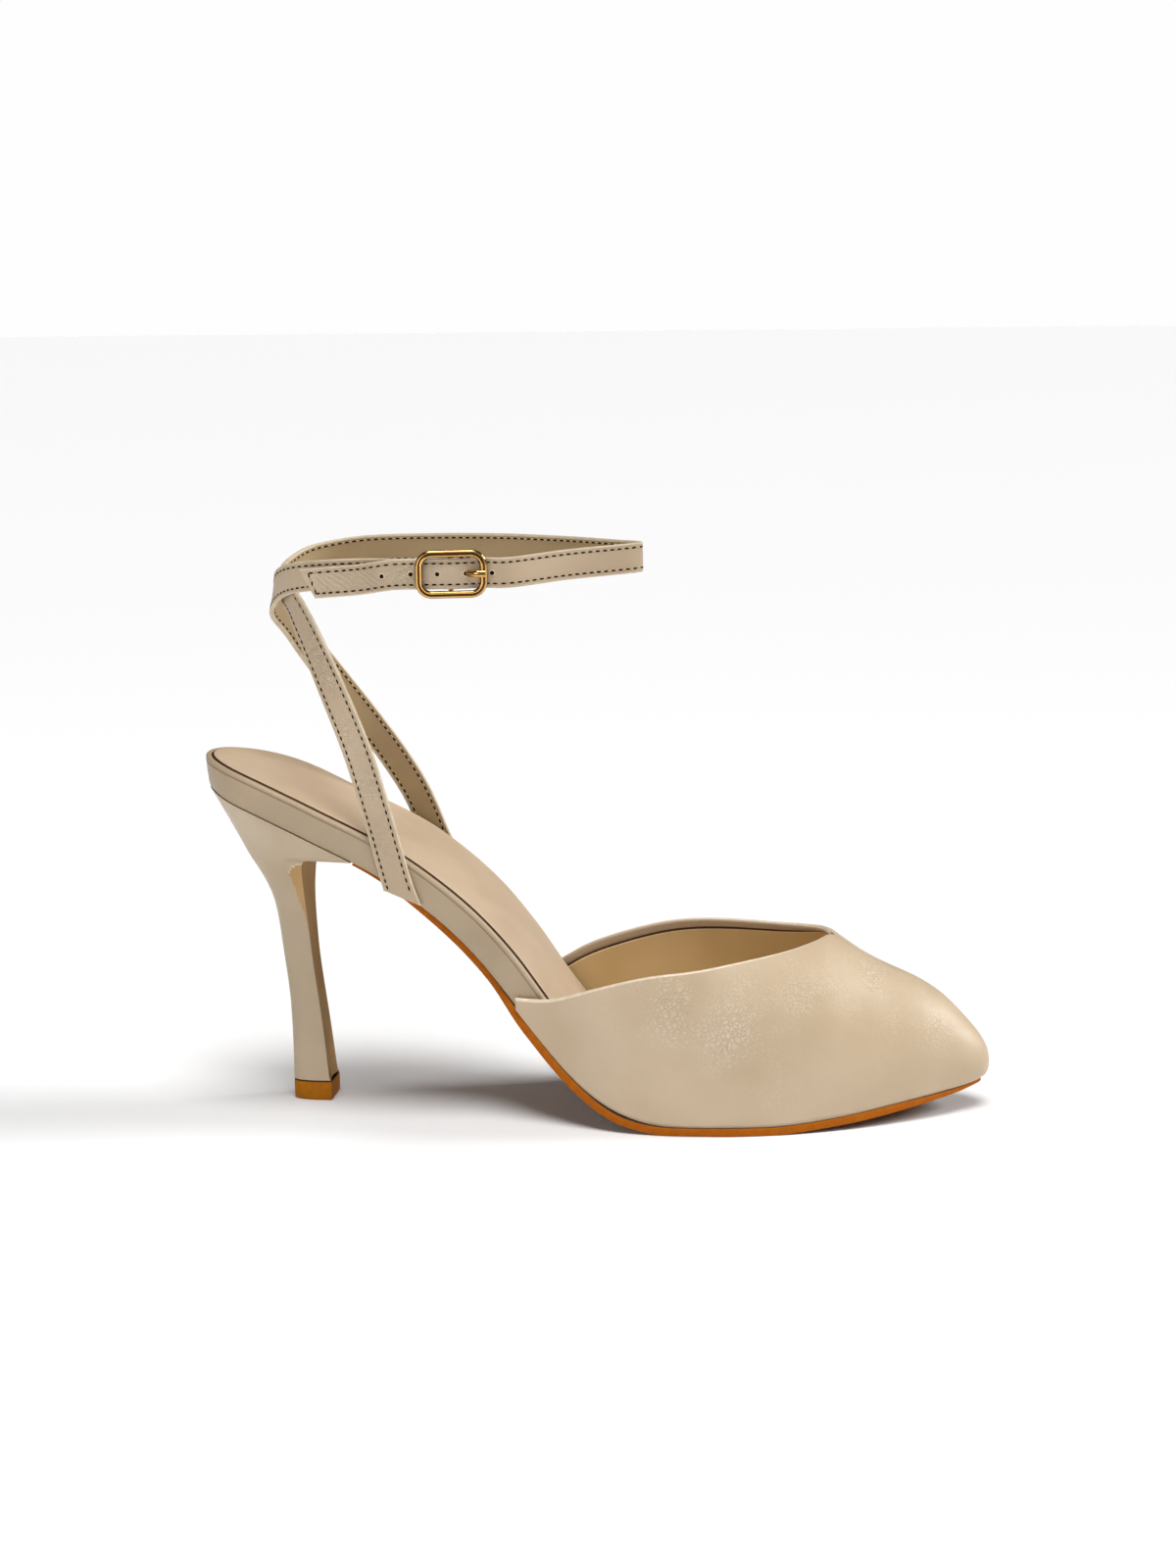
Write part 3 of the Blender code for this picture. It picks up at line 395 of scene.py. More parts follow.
def mix_color(tree, factor, first, second):
    """Mix of two colours."""
    made = tree.nodes.new("ShaderNodeMix")
    made.data_type = "RGBA"
    for index, value in ((0, factor), (6, first), (7, second)):
        if isinstance(value, bpy.types.NodeSocket):
            tree.links.new(value, made.inputs[index])
        else:
            made.inputs[index].default_value = value
    return made.outputs[2]


def rgb(red, green, blue):
    """Linear colour for a colour as it looks on a screen."""
    return tuple(((c / 255 + 0.055) / 1.055) ** 2.4 for c in (red, green, blue)) + (1.0,)


def noise(tree, place, scale, detail=2.0):
    """Height of a noise, whose scale is per metre."""
    return add(tree, "ShaderNodeTexNoise", {"Vector": place, "Scale": scale, "Detail": detail}).outputs["Fac"]


def vector_node(tree, operation, inputs):
    """Result of arithmetic on vectors."""
    return add(tree, "ShaderNodeVectorMath", inputs, operation=operation).outputs[0]


def new_material(name):
    """Material with its node tree, its shader and the place on the piece in metres."""
    material = bpy.data.materials.new(name)
    material.use_nodes = True
    tree = material.node_tree
    place = add(tree, "ShaderNodeTexCoord").outputs["Object"]
    return material, tree, tree.nodes["Principled BSDF"], place


def crinkled(tree, place, cell):
    """Height of crinkled grain in patches, where the attribute of that name asks for it."""
    pull = add(tree, "ShaderNodeTexNoise", {"Vector": place, "Scale": 260.0, "Detail": 1.0}).outputs["Color"]
    offset = vector_node(tree, "ADD", {0: pull, 1: (-0.5, -0.5, -0.5)})
    scaled = vector_node(tree, "SCALE", {0: offset, 3: 0.0030})
    moved = vector_node(tree, "ADD", {0: place, 1: scaled})
    cells = add(tree, "ShaderNodeTexVoronoi", {"Vector": moved, "Scale": cell}, feature="DISTANCE_TO_EDGE")
    creases = math_node(tree, "MULTIPLY", remap(tree, cells.outputs["Distance"], 0.0, 0.16), 0.6)
    waves = math_node(tree, "MULTIPLY", noise(tree, moved, 620.0), 0.4)
    relief = math_node(tree, "SUBTRACT", math_node(tree, "ADD", creases, waves), 0.65)
    asked = add(tree, "ShaderNodeAttribute", attribute_name="crinkle").outputs["Fac"]
    patches = remap(tree, noise(tree, place, 80.0), 0.30, 0.66)
    return math_node(tree, "MULTIPLY", relief, math_node(tree, "MULTIPLY", asked, patches))


def pleated(tree, place):
    """Height of slanted pleats, where the attribute pleat asks for them."""
    turned = add(tree, "ShaderNodeMapping", {"Vector": place, "Rotation": (0.0, math.radians(52), 0.0)})
    inputs = {"Vector": turned.outputs[0], "Scale": 240.0, "Distortion": 5.0, "Detail": 1.0}
    inputs["Detail Scale"] = 0.6
    waves = add(tree, "ShaderNodeTexWave", inputs).outputs["Fac"]
    asked = add(tree, "ShaderNodeAttribute", attribute_name="pleat").outputs["Fac"]
    return math_node(tree, "MULTIPLY", math_node(tree, "SUBTRACT", waves, 0.5), asked)


# Depth in metres of each relief of the leather
BROAD_DEPTH = 0.0009
MIDDLE_DEPTH = 0.00016
PORE_DEPTH = 0.000035
CRINKLE_DEPTH = 0.00021
PLEAT_DEPTH = 0.00030
# Colour of the painted highlight on the raised parts of crinkled grain
CRINKLE_HIGHLIGHT = rgb(228, 212, 188)


def leather(name, color, dark, wave, crinkle=0.0, cell=720.0, pleats=False, gloss=0.47, coat=0.08,
            shine=0.45):
    """Leather with broad unevenness, fine pores and, where attributes say so, crinkled grain, whose raised
    parts get a painted highlight, or pleats.
    """
    material, tree, shader, place = new_material(name)
    broad, middle = noise(tree, place, 42.0), noise(tree, place, 210.0, 3.0)
    pores = noise(tree, place, 2400.0)
    heights = [(broad, BROAD_DEPTH * wave), (middle, MIDDLE_DEPTH * wave), (pores, PORE_DEPTH)]
    base = mix_color(tree, remap(tree, broad, 0.3, 0.7), rgb(*dark), rgb(*color))
    if crinkle:
        shown = crinkled(tree, place, cell)
        heights.append((shown, CRINKLE_DEPTH * crinkle))
        # Raised parts of the crinkles are painted paler: a painted highlight
        base = mix_color(tree, math_node(tree, "MULTIPLY", shown, 2.2), base, CRINKLE_HIGHLIGHT)
    if pleats:
        heights.append((pleated(tree, place), PLEAT_DEPTH))
    normal = None
    for height, depth in heights:
        inputs = {"Height": height, "Distance": depth, "Strength": 1.0}
        if normal:
            inputs["Normal"] = normal
        normal = add(tree, "ShaderNodeBump", inputs).outputs[0]
    tree.links.new(base, shader.inputs["Base Color"])
    tree.links.new(normal, shader.inputs["Normal"])
    tree.links.new(remap(tree, middle, 0.25, 0.75, gloss - 0.05, gloss + 0.06), shader.inputs["Roughness"])
    shader.inputs["Coat Weight"].default_value = coat
    shader.inputs["Coat Roughness"].default_value = 0.30
    shader.inputs["Specular IOR Level"].default_value = shine
    return material


def plain(name, color, roughness, metallic=0.0, spread=0.06, scale=500.0, depth=0.00003, shine=0.5):
    """Even material with a little variation of colour, gloss and surface."""
    material, tree, shader, place = new_material(name)
    grain = noise(tree, place, scale, 3.0)
    dark = tuple(c * (1 - spread * 2.5) for c in color[:3]) + (1.0,)
    tree.links.new(mix_color(tree, remap(tree, grain, 0.3, 0.7), dark, color), shader.inputs["Base Color"])
    gloss = remap(tree, grain, 0.2, 0.8, roughness - spread, roughness + spread)
    tree.links.new(gloss, shader.inputs["Roughness"])
    bump = add(tree, "ShaderNodeBump", {"Height": grain, "Distance": depth, "Strength": 1.0})
    tree.links.new(bump.outputs[0], shader.inputs["Normal"])
    shader.inputs["Metallic"].default_value = metallic
    shader.inputs["Specular IOR Level"].default_value = shine
    return material


LEATHER = leather("beige_leather", (197, 176, 148), (189, 167, 138), wave=1.0, crinkle=1.0)
# The vamp's beige leather, painted a little darker on the straps as shade against the stronger top light
# there
STRAP_FACE_DARKER = leather("strap_leather", (186, 165, 138), (175, 153, 126), wave=0.3, crinkle=0.7, cell=1150.0,
                     pleats=True)
WRAP = leather("footbed_leather", (174, 154, 127), (166, 146, 119), wave=0.35)
HEEL_SKIN = leather("heel_leather", (187, 167, 140), (179, 159, 131), wave=0.35)
SOCK = leather("sock_leather", (195, 172, 145), (187, 163, 135), wave=0.25, gloss=0.55, coat=0.0)
LINING = leather("lining_leather", (162, 137, 99), (152, 126, 89), wave=0.3, gloss=0.55, coat=0.0)
# Lining inside the vamp, painted lighter than the straps' lining to offset the shade that falls inside the
# vamp
VAMP_LINING_LIT = leather("vamp_lining_painted_lighter", (232, 199, 143), (222, 187, 129), wave=0.4, gloss=0.5, coat=0.0)
FOLD_SHADE = leather("fold_line_painted_shade", (150, 126, 96), (142, 118, 88), wave=0.2)
BREAST_SHADE = leather("heel_breast_painted_shade", (190, 156, 110), (180, 144, 97), wave=0.2, gloss=0.7, coat=0.0, shine=0.05)
# Cream paint on the straps' edges, also used as a painted highlight on the heel's lip and round the billet's
# holes
EDGE_PAINT_AND_HIGHLIGHT = plain("cream_edge_paint_and_highlight", rgb(206, 188, 160), 0.45)
# Painted shade in the grooves and seam lines of the vamp, footbed, sock, outsole and top piece
SEAM_SHADOW = plain("seam_shadow", rgb(78, 48, 22), 0.8)
# Painted highlight along the topline's rounded edge
TOPLINE_HIGHLIGHT = plain("topline_painted_highlight", rgb(232, 214, 186), 0.4)
# Painted highlight on the lining's folded edge below the topline's groove
WELT_HIGHLIGHT = plain("lining_edge_painted_highlight", rgb(236, 208, 160), 0.5)
THREAD = plain("beige_thread", rgb(186, 164, 130), 0.75, scale=3000.0)
HOLE_SHADE = plain("needle_hole_shade", rgb(34, 18, 7), 0.9, shine=0.1)
SOLE_UNDER = plain("brown_sole_bottom", rgb(118, 72, 30), 0.7, shine=0.1)
SOLE_TAN = plain("tan_outsole", rgb(172, 92, 2), 0.6, shine=0.12)
TIP_TAN = plain("tan_top_piece", rgb(172, 104, 6), 0.6, shine=0.12)
GOLD = plain("gold_metal", rgb(224, 174, 102), 0.15, metallic=1.0, spread=0.03)
# Painted dark reflection on the polished buckle
GOLD_DARK_REFLECTION = plain("gold_painted_dark_reflection", rgb(72, 40, 12), 0.3, metallic=0.7, spread=0.03)


# Vamp

HOOP = np.arange(len(RINGS), dtype=float)
HOOP_STEPS = 8          # rows from one hoop to the next
THROAT_HOOP = 9         # hoop at which the two sides meet
ACROSS = 44             # columns from the feather edge to the topline
ROLL = 7                # columns round the topline's edge
TURNED = np.array([0.0, 0.0006, 0.0012, 0.0018, 0.0022, 0.0024, 0.0027, 0.0032, 0.0040])
TURNED_EDGE = 4         # which of these depths below the topline ends the turned-in leather
TURNED_THICK = 0.0004   # how far the wall steps back there
OUTER, INNER, SHADOW, RIM_HIGHLIGHT, HEM_HIGHLIGHT = range(5)

# Middle, size and strength of the patches of crinkled grain and of its painted highlight
CRINKLES = [
    ((0.030, -0.036, 0.038), 0.016, 0.9), ((0.062, -0.028, 0.040), 0.014, 0.8),
    ((0.046, -0.032, 0.030), 0.015, 1.0), ((0.058, -0.030, 0.020), 0.013, 0.55),
    ((0.085, -0.006, 0.040), 0.011, 0.8), ((0.098, -0.010, 0.032), 0.011, 0.9),
    ((0.078, -0.020, 0.044), 0.010, 0.6), ((0.020, -0.036, 0.028), 0.010, 0.4),
    ((0.030, 0.034, 0.036), 0.015, 0.7), ((0.050, 0.030, 0.028), 0.013, 0.7),
]


def hoops(place, side, turn):
    """Points of the upper's outer face at fractional hoops and turns from the feather edge to the ridge."""
    foot, ridge, rise, fullness = [smooth(HOOP, RINGS[:, c], place) for c in range(4)]
    edges = bed_edges(foot)
    middle = (edges[0] + edges[1]) / 2
    reach = np.where(foot < 1, WALL + FIT, FIT)
    half = edges[side] - middle + reach * (-1 if side == 0 else 1)
    base = bend(arc_at(foot), middle, OUTSOLE + FIT)
    top = np.stack([(ridge - 0.5) * SOLE_LENGTH, middle, rise * THROAT_HEIGHT], -1)
    angle = turn * np.pi / 2
    wide = np.clip(np.cos(angle), 0.0, None) ** (2 / fullness)
    high = np.sin(angle) ** (2 / fullness)
    swell = 1 + BULGE * np.sin(2 * angle)
    points = base + (top - base) * high[..., None]
    points[..., 1] = middle + half * wide * swell
    return points


def cut_turn(place, side):
    """Turn at which the topline cuts a hoop."""
    share = np.clip(smooth(HOOP, RINGS[:, 4 + side], place), 0.0, 1.0)
    fullness = smooth(HOOP, RINGS[:, 3], place)
    return np.arcsin(share ** (fullness / 2)) / (np.pi / 2)


def outer_faces(place, throat):
    """Outer face of both sides, which pass smoothly over the ridge in front of the throat."""
    steps = np.arange(ACROSS + 1)
    share = (1 - np.cos(np.pi * steps / ACROSS)) / 2 * 0.5 + steps / ACROSS * 0.5
    outer = []
    for side in (0, 1):
        turn = cut_turn(place, side)[:, None] * share[None, :]
        outer.append(soft(hoops(np.repeat(place[:, None], ACROSS + 1, 1), side, turn), 3.0))
    ridge = soft(np.concatenate([outer[0], outer[1][:, ::-1][:, 1:]], 1), 3.5, 1)
    near_ridge = step(0.70, 0.95, steps / ACROSS)[None, :, None]
    blend = near_ridge * step(throat + 0.5, throat + 7, np.arange(len(place)))[:, None, None]
    outer[0] = outer[0] * (1 - blend) + ridge[:, :ACROSS + 1] * blend
    outer[1] = outer[1] * (1 - blend) + ridge[:, ACROSS:][:, ::-1] * blend
    return outer


def face_directions(shape, side, throat):
    """Outward direction at each point of a side's face, and upward direction along its top row."""
    along, up = np.gradient(shape, axis=0), np.gradient(shape, axis=1)
    normal = np.cross(along, up) if side == 0 else np.cross(up, along)
    size = np.linalg.norm(normal, axis=-1, keepdims=True)
    normal = normal / np.where(size < 1e-12, 1.0, size)
    normal[throat + 1:, -1, 1] = 0.0
    normal[throat + 1:, -1] = unit(normal[throat + 1:, -1])
    return normal, unit(up[:, -1])


def shell_section(face, normal, climb, opened):
    """Loop round one section of the wall: outer face, top edge, which is rolled where opened, and lining."""
    inside = face - normal * WALL
    if opened:
        radius = WALL / 2
        centre = (face[-1] + inside[-1]) / 2 - climb * radius
        sink = climb * radius * step(0.6, 1.0, np.arange(ACROSS + 1) / ACROSS)[:, None]
        face, inside = face - sink, inside - sink
        turns = np.linspace(0, np.pi, ROLL + 2)[1:-1]
        rim = [centre + radius * (math.cos(a) * normal[-1] + math.sin(a) * climb) for a in turns]
    else:
        rim = [face[-1] + (inside[-1] - face[-1]) * k / (ROLL + 1) for k in range(1, ROLL + 1)]
    downward = inside[::-1]
    depth = run_along(downward)
    squeeze = min(1.0, depth[-1] / (TURNED[-1] * 2.5))
    wanted = TURNED * squeeze
    rest = np.linspace(wanted[-1], depth[-1], ACROSS + 2 - len(wanted))[1:]
    wanted = np.concatenate([wanted, rest])
    lined = np.stack([np.interp(wanted, depth, downward[:, c]) for c in range(3)], 1)
    if opened:
        lined[TURNED_EDGE:TURNED_EDGE + 2] += normal[-1] * TURNED_THICK * squeeze
    return np.concatenate([face, rim, lined])


def shell_slot(row, column, columns, throat):
    """Material of a face of the shell."""
    down = column - ACROSS - ROLL - 1
    if column == columns - 1:
        return INNER
    if down < 0:
        # The top of the outer face and the start of the roll round the topline get a painted highlight
        return RIM_HIGHLIGHT if ACROSS - 1 < column < ACROSS + 5 and row < throat else OUTER
    if row >= throat:
        return INNER if down > TURNED_EDGE + 1 else OUTER
    if down < TURNED_EDGE:
        return OUTER
    if down < TURNED_EDGE + 2:
        return SHADOW
    # Below the painted shade of the groove, one row of painted highlight on the lining's fold
    return HEM_HIGHLIGHT if down < TURNED_EDGE + 3 else INNER


def make_upper():
    """Vamp with its folded topline, lining and closed edges, as one piece."""
    place = np.linspace(0.0, len(RINGS) - 1, (len(RINGS) - 1) * HOOP_STEPS + 1)
    throat = int(np.argmax(place >= THROAT_HOOP))
    points, faces, slots = [], [], []
    for side, shape in enumerate(outer_faces(place, throat)):
        normal, climb = face_directions(shape, side, throat)
        rows = len(shape)
        block = np.array([shell_section(shape[i], normal[i], climb[i], i <= throat) for i in range(rows)])
        columns = block.shape[1]
        first = side * rows * columns
        points.append(block.reshape(-1, 3))
        for i in range(rows - 1):
            for j in range(columns):
                if i > throat and ACROSS < j < ACROSS + ROLL:
                    continue
                k = (j + 1) % columns
                low, high = first + i * columns, first + (i + 1) * columns
                face = (low + j, high + j, high + k, low + k)
                faces.append(face if side == 0 else face[::-1])
                slots.append(shell_slot(i, j, columns, throat))
        faces += cap_faces(first, columns)
        slots += [OUTER] * (columns // 2 - 1)
    points = np.concatenate(points)
    mask = np.zeros(len(points))
    for middle, size, strength in CRINKLES:
        away = np.linalg.norm(points - np.array(middle), axis=1)
        mask = np.maximum(mask, strength * np.exp(-(away / size) ** 2))
    # Materials: leather, lining painted lighter against the shade inside, painted shade in the groove below
    # the turned-in leather, a painted highlight on the topline's edge and one on the lining's fold
    add_mesh("upper_vamp", points, faces, [LEATHER, VAMP_LINING_LIT, SEAM_SHADOW, TOPLINE_HIGHLIGHT, WELT_HIGHLIGHT], slots,
             "upper", merge=4e-6, layers={"crinkle": mask})


# Footbed, sock and outsole

def from_rim(rise):
    """Lift at a height above the footbed's rim."""
    return lambda arc: bed_lift(arc) + rise


def from_foot(height):
    """Lift at a height above the footbed's lower face."""
    return lambda arc: OUTSOLE + FIT + height


def below_rim(depth):
    """Lift at a depth below the rim, less deep where the footbed is thin."""
    def lift(arc):
        rim = bed_lift(arc)
        return rim - depth * np.minimum(1.0, BED_EDGE_SHARE * (rim - OUTSOLE - FIT) / BED_EDGE)

    return lift


def across_faces(first, size):
    """Faces across a loop that runs out along one side and back along the other."""
    last = size // 2
    faces = []
    for i in range(last):
        face = (i, i + 1, (size - i - 1) if i + 1 < last else last, size - i if i else 0)
        faces.append(tuple(dict.fromkeys(first + v for v in face)))
    return faces


def layered(name, profile, materials, slot_at, node, top_slot):
    """Piece through loops round the footbed, each given by how far it is grown and by its lift."""
    rows = [around(stations(0, 1, 260), grow, lift) for grow, lift in profile]
    return lofted(name, rows, materials, slot_at, node, None, (0, top_slot), across_faces)


def make_footbed():
    """Covered footbed with a fold line under its round rim, painted darker as shade, and painted shade in the
    groove round the sock.
    """
    levels = [(-0.0012, from_foot(0.0)), (-0.0004, from_foot(0.0001)), (-0.0001, from_foot(0.0005)),
              (0.0, from_foot(0.0012))]
    levels.append((0.00005, lambda arc: OUTSOLE + FIT + (bed_lift(arc) - OUTSOLE - FIT) * 0.45))
    rim = ((0.0, BED_EDGE), (0.00002, 0.0016), (-0.00018, 0.00135), (-0.00002, 0.0011), (-0.00008, 0.00075),
           (-0.00025, 0.0004), (-0.0005, 0.00018), (-0.0009, 0.00004), (-0.00155, 0.0),
           (-0.00178, 0.04 * BED_EDGE), (-0.00190, 0.0003))
    levels += [(grow, below_rim(depth)) for grow, depth in rim]
    levels += [(-0.00194, from_rim(-0.0005)), (-0.00300, from_rim(-0.0005))]
    # Bands of faces: leather, painted shade in the fold line, leather, painted shade in the groove round the
    # sock
    layered("footbed_band", levels, [WRAP, SEAM_SHADOW, FOLD_SHADE],
            bands((0, 6), (2, 2), (0, 6), (1, 3)), "footbed", 1)


def make_sock():
    """Sock lining with a soft round edge, whose low side wall is painted shade."""
    profile = ((-0.0023, -0.0012), (-0.0023, -0.0005), (-0.0023, 0.00020), (-0.0025, 0.00040),
               (-0.0029, 0.00052), (-0.0040, 0.00062), (-0.0062, 0.00062))
    levels = [(grow, from_rim(rise)) for grow, rise in profile]
    tones = bands((1, 3), (0, 3))
    piece = layered("sock_lining", levels, [SOCK, SEAM_SHADOW], tones, "insole_sock", 0)


def make_outsole():
    """Thin sole, skived under the heel and at the toe, with a dark line of painted shade along its upper
    edge.
    """
    along = stations(HEEL_BREAST + FIT / SOLE_LENGTH, 1, 240)
    front = step(0.385, 0.435, along)
    toe = step(0.88, 1.0, along)
    floor = OUTSOLE * (0.6 * step(0.34, HEEL_BREAST, along) + 0.45 * toe)
    top = OUTSOLE * (1 + OUTSOLE_HIGH * front * (1 - toe))
    grow = (WALL + FIT + OUTSOLE_PROUD) * front - TUCK * (1 - front) - OUTSOLE_SHORT * step(0.955, 1.0, along)
    rows = []
    for inset, share in ((0.0007, 0.0), (0.0002, 0.04), (0.0, 0.2), (0.0, 0.80), (0.0001, 0.92),
                         (0.00022, 0.97), (0.0005, 1.0)):
        arc, left, right = outline(along, grow - inset)
        lift = floor + (top - floor) * share
        rows.append(np.concatenate([bend(arc, left, lift), bend(arc, right, lift)[::-1]]))
    lofted("outsole_sheet", rows, [SOLE_TAN, SEAM_SHADOW, SOLE_UNDER], bands((0, 4), (1, 2)),
           "outsole", 40, (2, 1))


# Heel and its top piece

SIDE_TURNS = np.arange(41) / 40     # from the breast's corner round to the middle of the back
BREAST_STEPS = 12       # columns across the breast
BREAST_HOLLOW = 0.0036  # depth of the hollow, for a breast as wide as the seat
BREAST_TOP = 0.764      # rise at which the breast's painted shade ends in the middle
LIP_HIGHLIGHT_RISE = 0.014        # rise of the pale lip, a painted highlight, over it


def stem_side(section):
    """Places along and across of one side of a section of the heel's stem."""
    back, front, side_half, breast, square = section
    deep = np.sin(np.pi / 2 * SIDE_TURNS) ** 1.15
    wide = np.clip(1 - deep**square, 0.0, 1.0) ** (1 / square)
    half = breast + (side_half - breast) * np.minimum(deep * 2.5, 1.0)
    x = ((front + (back - front) * deep) - 0.5) * SOLE_LENGTH
    return x, half * HEEL_HALF_WIDTH * wide


def heel_row(rise, section, turn, seat):
    """Loop round the heel, on the stem or with a turn above 0 between its top and the seat."""
    high = max(rise * SEAT_HEIGHT, TOP_PIECE + FIT)
    x, y = stem_side(section)
    ring = []
    for side, sign in ((0, -1), (1, 1)):
        stem = np.stack([x, sign * y, np.full_like(x, high)], -1)
        ring.append(stem + (seat[side] - stem) * turn)
    front = ring[0][0]
    half = abs(front[1])
    hollow = BREAST_HOLLOW * (1 - turn) * half / HEEL_HALF_WIDTH
    face = []
    for c in np.linspace(-1, 1, BREAST_STEPS + 1)[1:-1]:
        face.append((front[0] - hollow * (1 - c * c), c * half, front[2]))
    return np.concatenate([ring[0][::-1], face, ring[1]])


def heel_slot(rise, turn, column):
    """Material of a face of the heel: 0 cover, 1 breast painted as shade, 2 pale lip painted as a highlight.
    """
    half = BREAST_STEPS / 2
    across = (column - len(SIDE_TURNS) + 1.5 - half) / half
    # Near the top the breast's painted shade reaches round onto the sides, a painted shadow of the scoop
    # under the seat
    reach = 1.0 + 1.3 * step(0.50, 0.74, rise)
    arch = BREAST_TOP - 0.040 * (across / reach)**4
    if abs(across) > reach or turn > 0 or rise >= arch + LIP_HIGHLIGHT_RISE:
        return 0
    return 1 if rise < arch else 2


def make_heel():
    """Covered heel: slim stem with its breast, which flares out to the seat."""
    places = HEEL_BREAST * np.sin(np.pi / 2 * SIDE_TURNS)
    arc, left, right = outline(places, -seat_lean(places))
    seat = [bend(arc, across, OUTSOLE + 0.00015)[::-1] for across in (left, right)]
    heights = np.linspace(0.0, STEM[-1, 0], 72)
    table = np.stack([soft(smooth(STEM[:, 0], STEM[:, c], heights), 3.0) for c in range(1, 6)], 1)
    sections = [(rise, table[i], 0.0) for i, rise in enumerate(heights)]
    sections += [(heights[-1], table[-1], turn) for turn in np.linspace(0, 1, 30)[1:]]
    rows = soft(np.array([heel_row(*section, seat) for section in sections]), 2.2)
    lofted("heel_cover", rows, [HEEL_SKIN, BREAST_SHADE, EDGE_PAINT_AND_HIGHLIGHT],
           lambda level, column: heel_slot(sections[level][0], sections[level][2], column), "heel", 42)


def make_top_piece():
    """Tip of the heel with a dark line of painted shade where it meets the cover."""
    x, y = stem_side(STEM[0, 1:])
    ring = np.concatenate([np.stack([x, -y], -1)[::-1], np.stack([x, y], -1)])
    inward = unit(ring - ring.mean(0))
    rows = []
    for high, inset in ((0.0, 0.0008), (0.0001, 0.0004), (0.0004, 0.0001), (0.0008, 0.0), (0.0054, 0.0),
                        (0.00555, 0.0001), (0.0057, 0.0003), (TOP_PIECE, 0.0006)):
        rows.append(np.concatenate([ring - inward * inset, np.full((len(ring), 1), high)], 1))
    tones = bands((0, 5), (1, 2))
    lofted("top_piece_tan", rows, [TIP_TAN, SEAM_SHADOW], tones, "top_piece", 40, (0, 1))


# Straps

FORWARD = np.array([math.cos(BUCKLE_TURN), math.sin(BUCKLE_TURN), 0])
OUTWARD = np.array([math.sin(BUCKLE_TURN), -math.cos(BUCKLE_TURN), 0])
BUCKLE_FACING = -math.degrees(BUCKLE_TURN)
FRAME_OUT = STRAP / 2 - WAVE + FIT + BUCKLE_WIRE / 2
FOLD_RADIUS = BAR_WIRE / 2 + FIT + FOLD / 2
BAR_OUT = WAVE - STRAP / 2 - FIT - FOLD / 2 - FOLD_RADIUS
SIDE_BAR = (BUCKLE_LENGTH - BUCKLE_WIRE) / 2
PRONG_HOLE = SIDE_BAR * 0.43
CHANNEL = STRAP_WIDTH / 2 - 0.00135     # stitch line, from the strap's middle
PITCH = 0.0022          # from one stitch to the next
DASH = 0.0014           # dark length of painted shade between two stitches, where the needle holes are

# Length, width and height, lift and material of a needle hole, a dark lump of painted shade, and of the
# thread between two of them
NEEDLE = ((DASH, 0.00052, 0.00020), 0.00004, 1)
STITCH = ((PITCH - DASH + 0.0002, 0.00048, 0.00034), 0.00002, 0)


def facing_normal(facing, lean):
    """Outward direction of a strap that faces and leans by angles in degrees."""
    turn, tilt = np.radians(facing), np.radians(lean)
    return np.stack([-np.sin(turn) * np.cos(tilt), -np.cos(turn) * np.cos(tilt), np.sin(tilt)], -1)


def level_place(along, across, up):
    """Point at shares of the sole's length, the ball's width and the straps' height over the seat."""
    return np.array([(along - 0.5) * SOLE_LENGTH, across * BALL_WIDTH, SEAT_HEIGHT + up * ANKLE_RISE])


def at_buckle(along, out, up):
    """Point at distances from the middle of the buckle."""
    return level_place(0.3522, -0.3511, 1.0) + FORWARD * along + OUTWARD * out + np.array([0, 0, up])


def base_spot(side, along, lift, skew=0.0):
    """Row of a strap on the footbed's band: place, facing, lean, thickness and skew."""
    reach = (FIT + STRAP / 2) * (-1 if side == 0 else 1)
    point = bend(arc_at(along), bed_edges(along)[side] + reach, OUTSOLE + FIT + lift * BED)
    return (*point, 180.0 * side, 0.0, STRAP, skew)


def loop_spots(rows):
    """Rows of a strap through the places of a table."""
    return [(*level_place(*row[:3]), row[3], row[4], STRAP, 0.0) for row in rows]


def buckle_spot(along, out, turn=0.0, thick=STRAP):
    """Row of a strap near the buckle."""
    return (*at_buckle(along, out, 0.0), turn + BUCKLE_FACING, 0.0, thick, 0.0)


def lateral_spots():
    """Rows of the lateral strap, through the buckle to its cut end."""
    base = [base_spot(0, 0.2802, -0.08, -42.0), base_spot(0, 0.2638, 0.335, -12.0)]
    beyond = BUCKLE_LENGTH * 0.84
    through = [buckle_spot(beyond, 0.0, 360), buckle_spot(SIDE_BAR, -WAVE, 360), buckle_spot(0.0, WAVE, 360),
               buckle_spot(-SIDE_BAR, -WAVE, 360), buckle_spot(-beyond, 0.0, 362)]
    billet = loop_spots(LATERAL_BILLET)
    billet[-1] = (*billet[-1][:6], 24.0)
    return base + loop_spots(LATERAL_LOOP) + through + billet


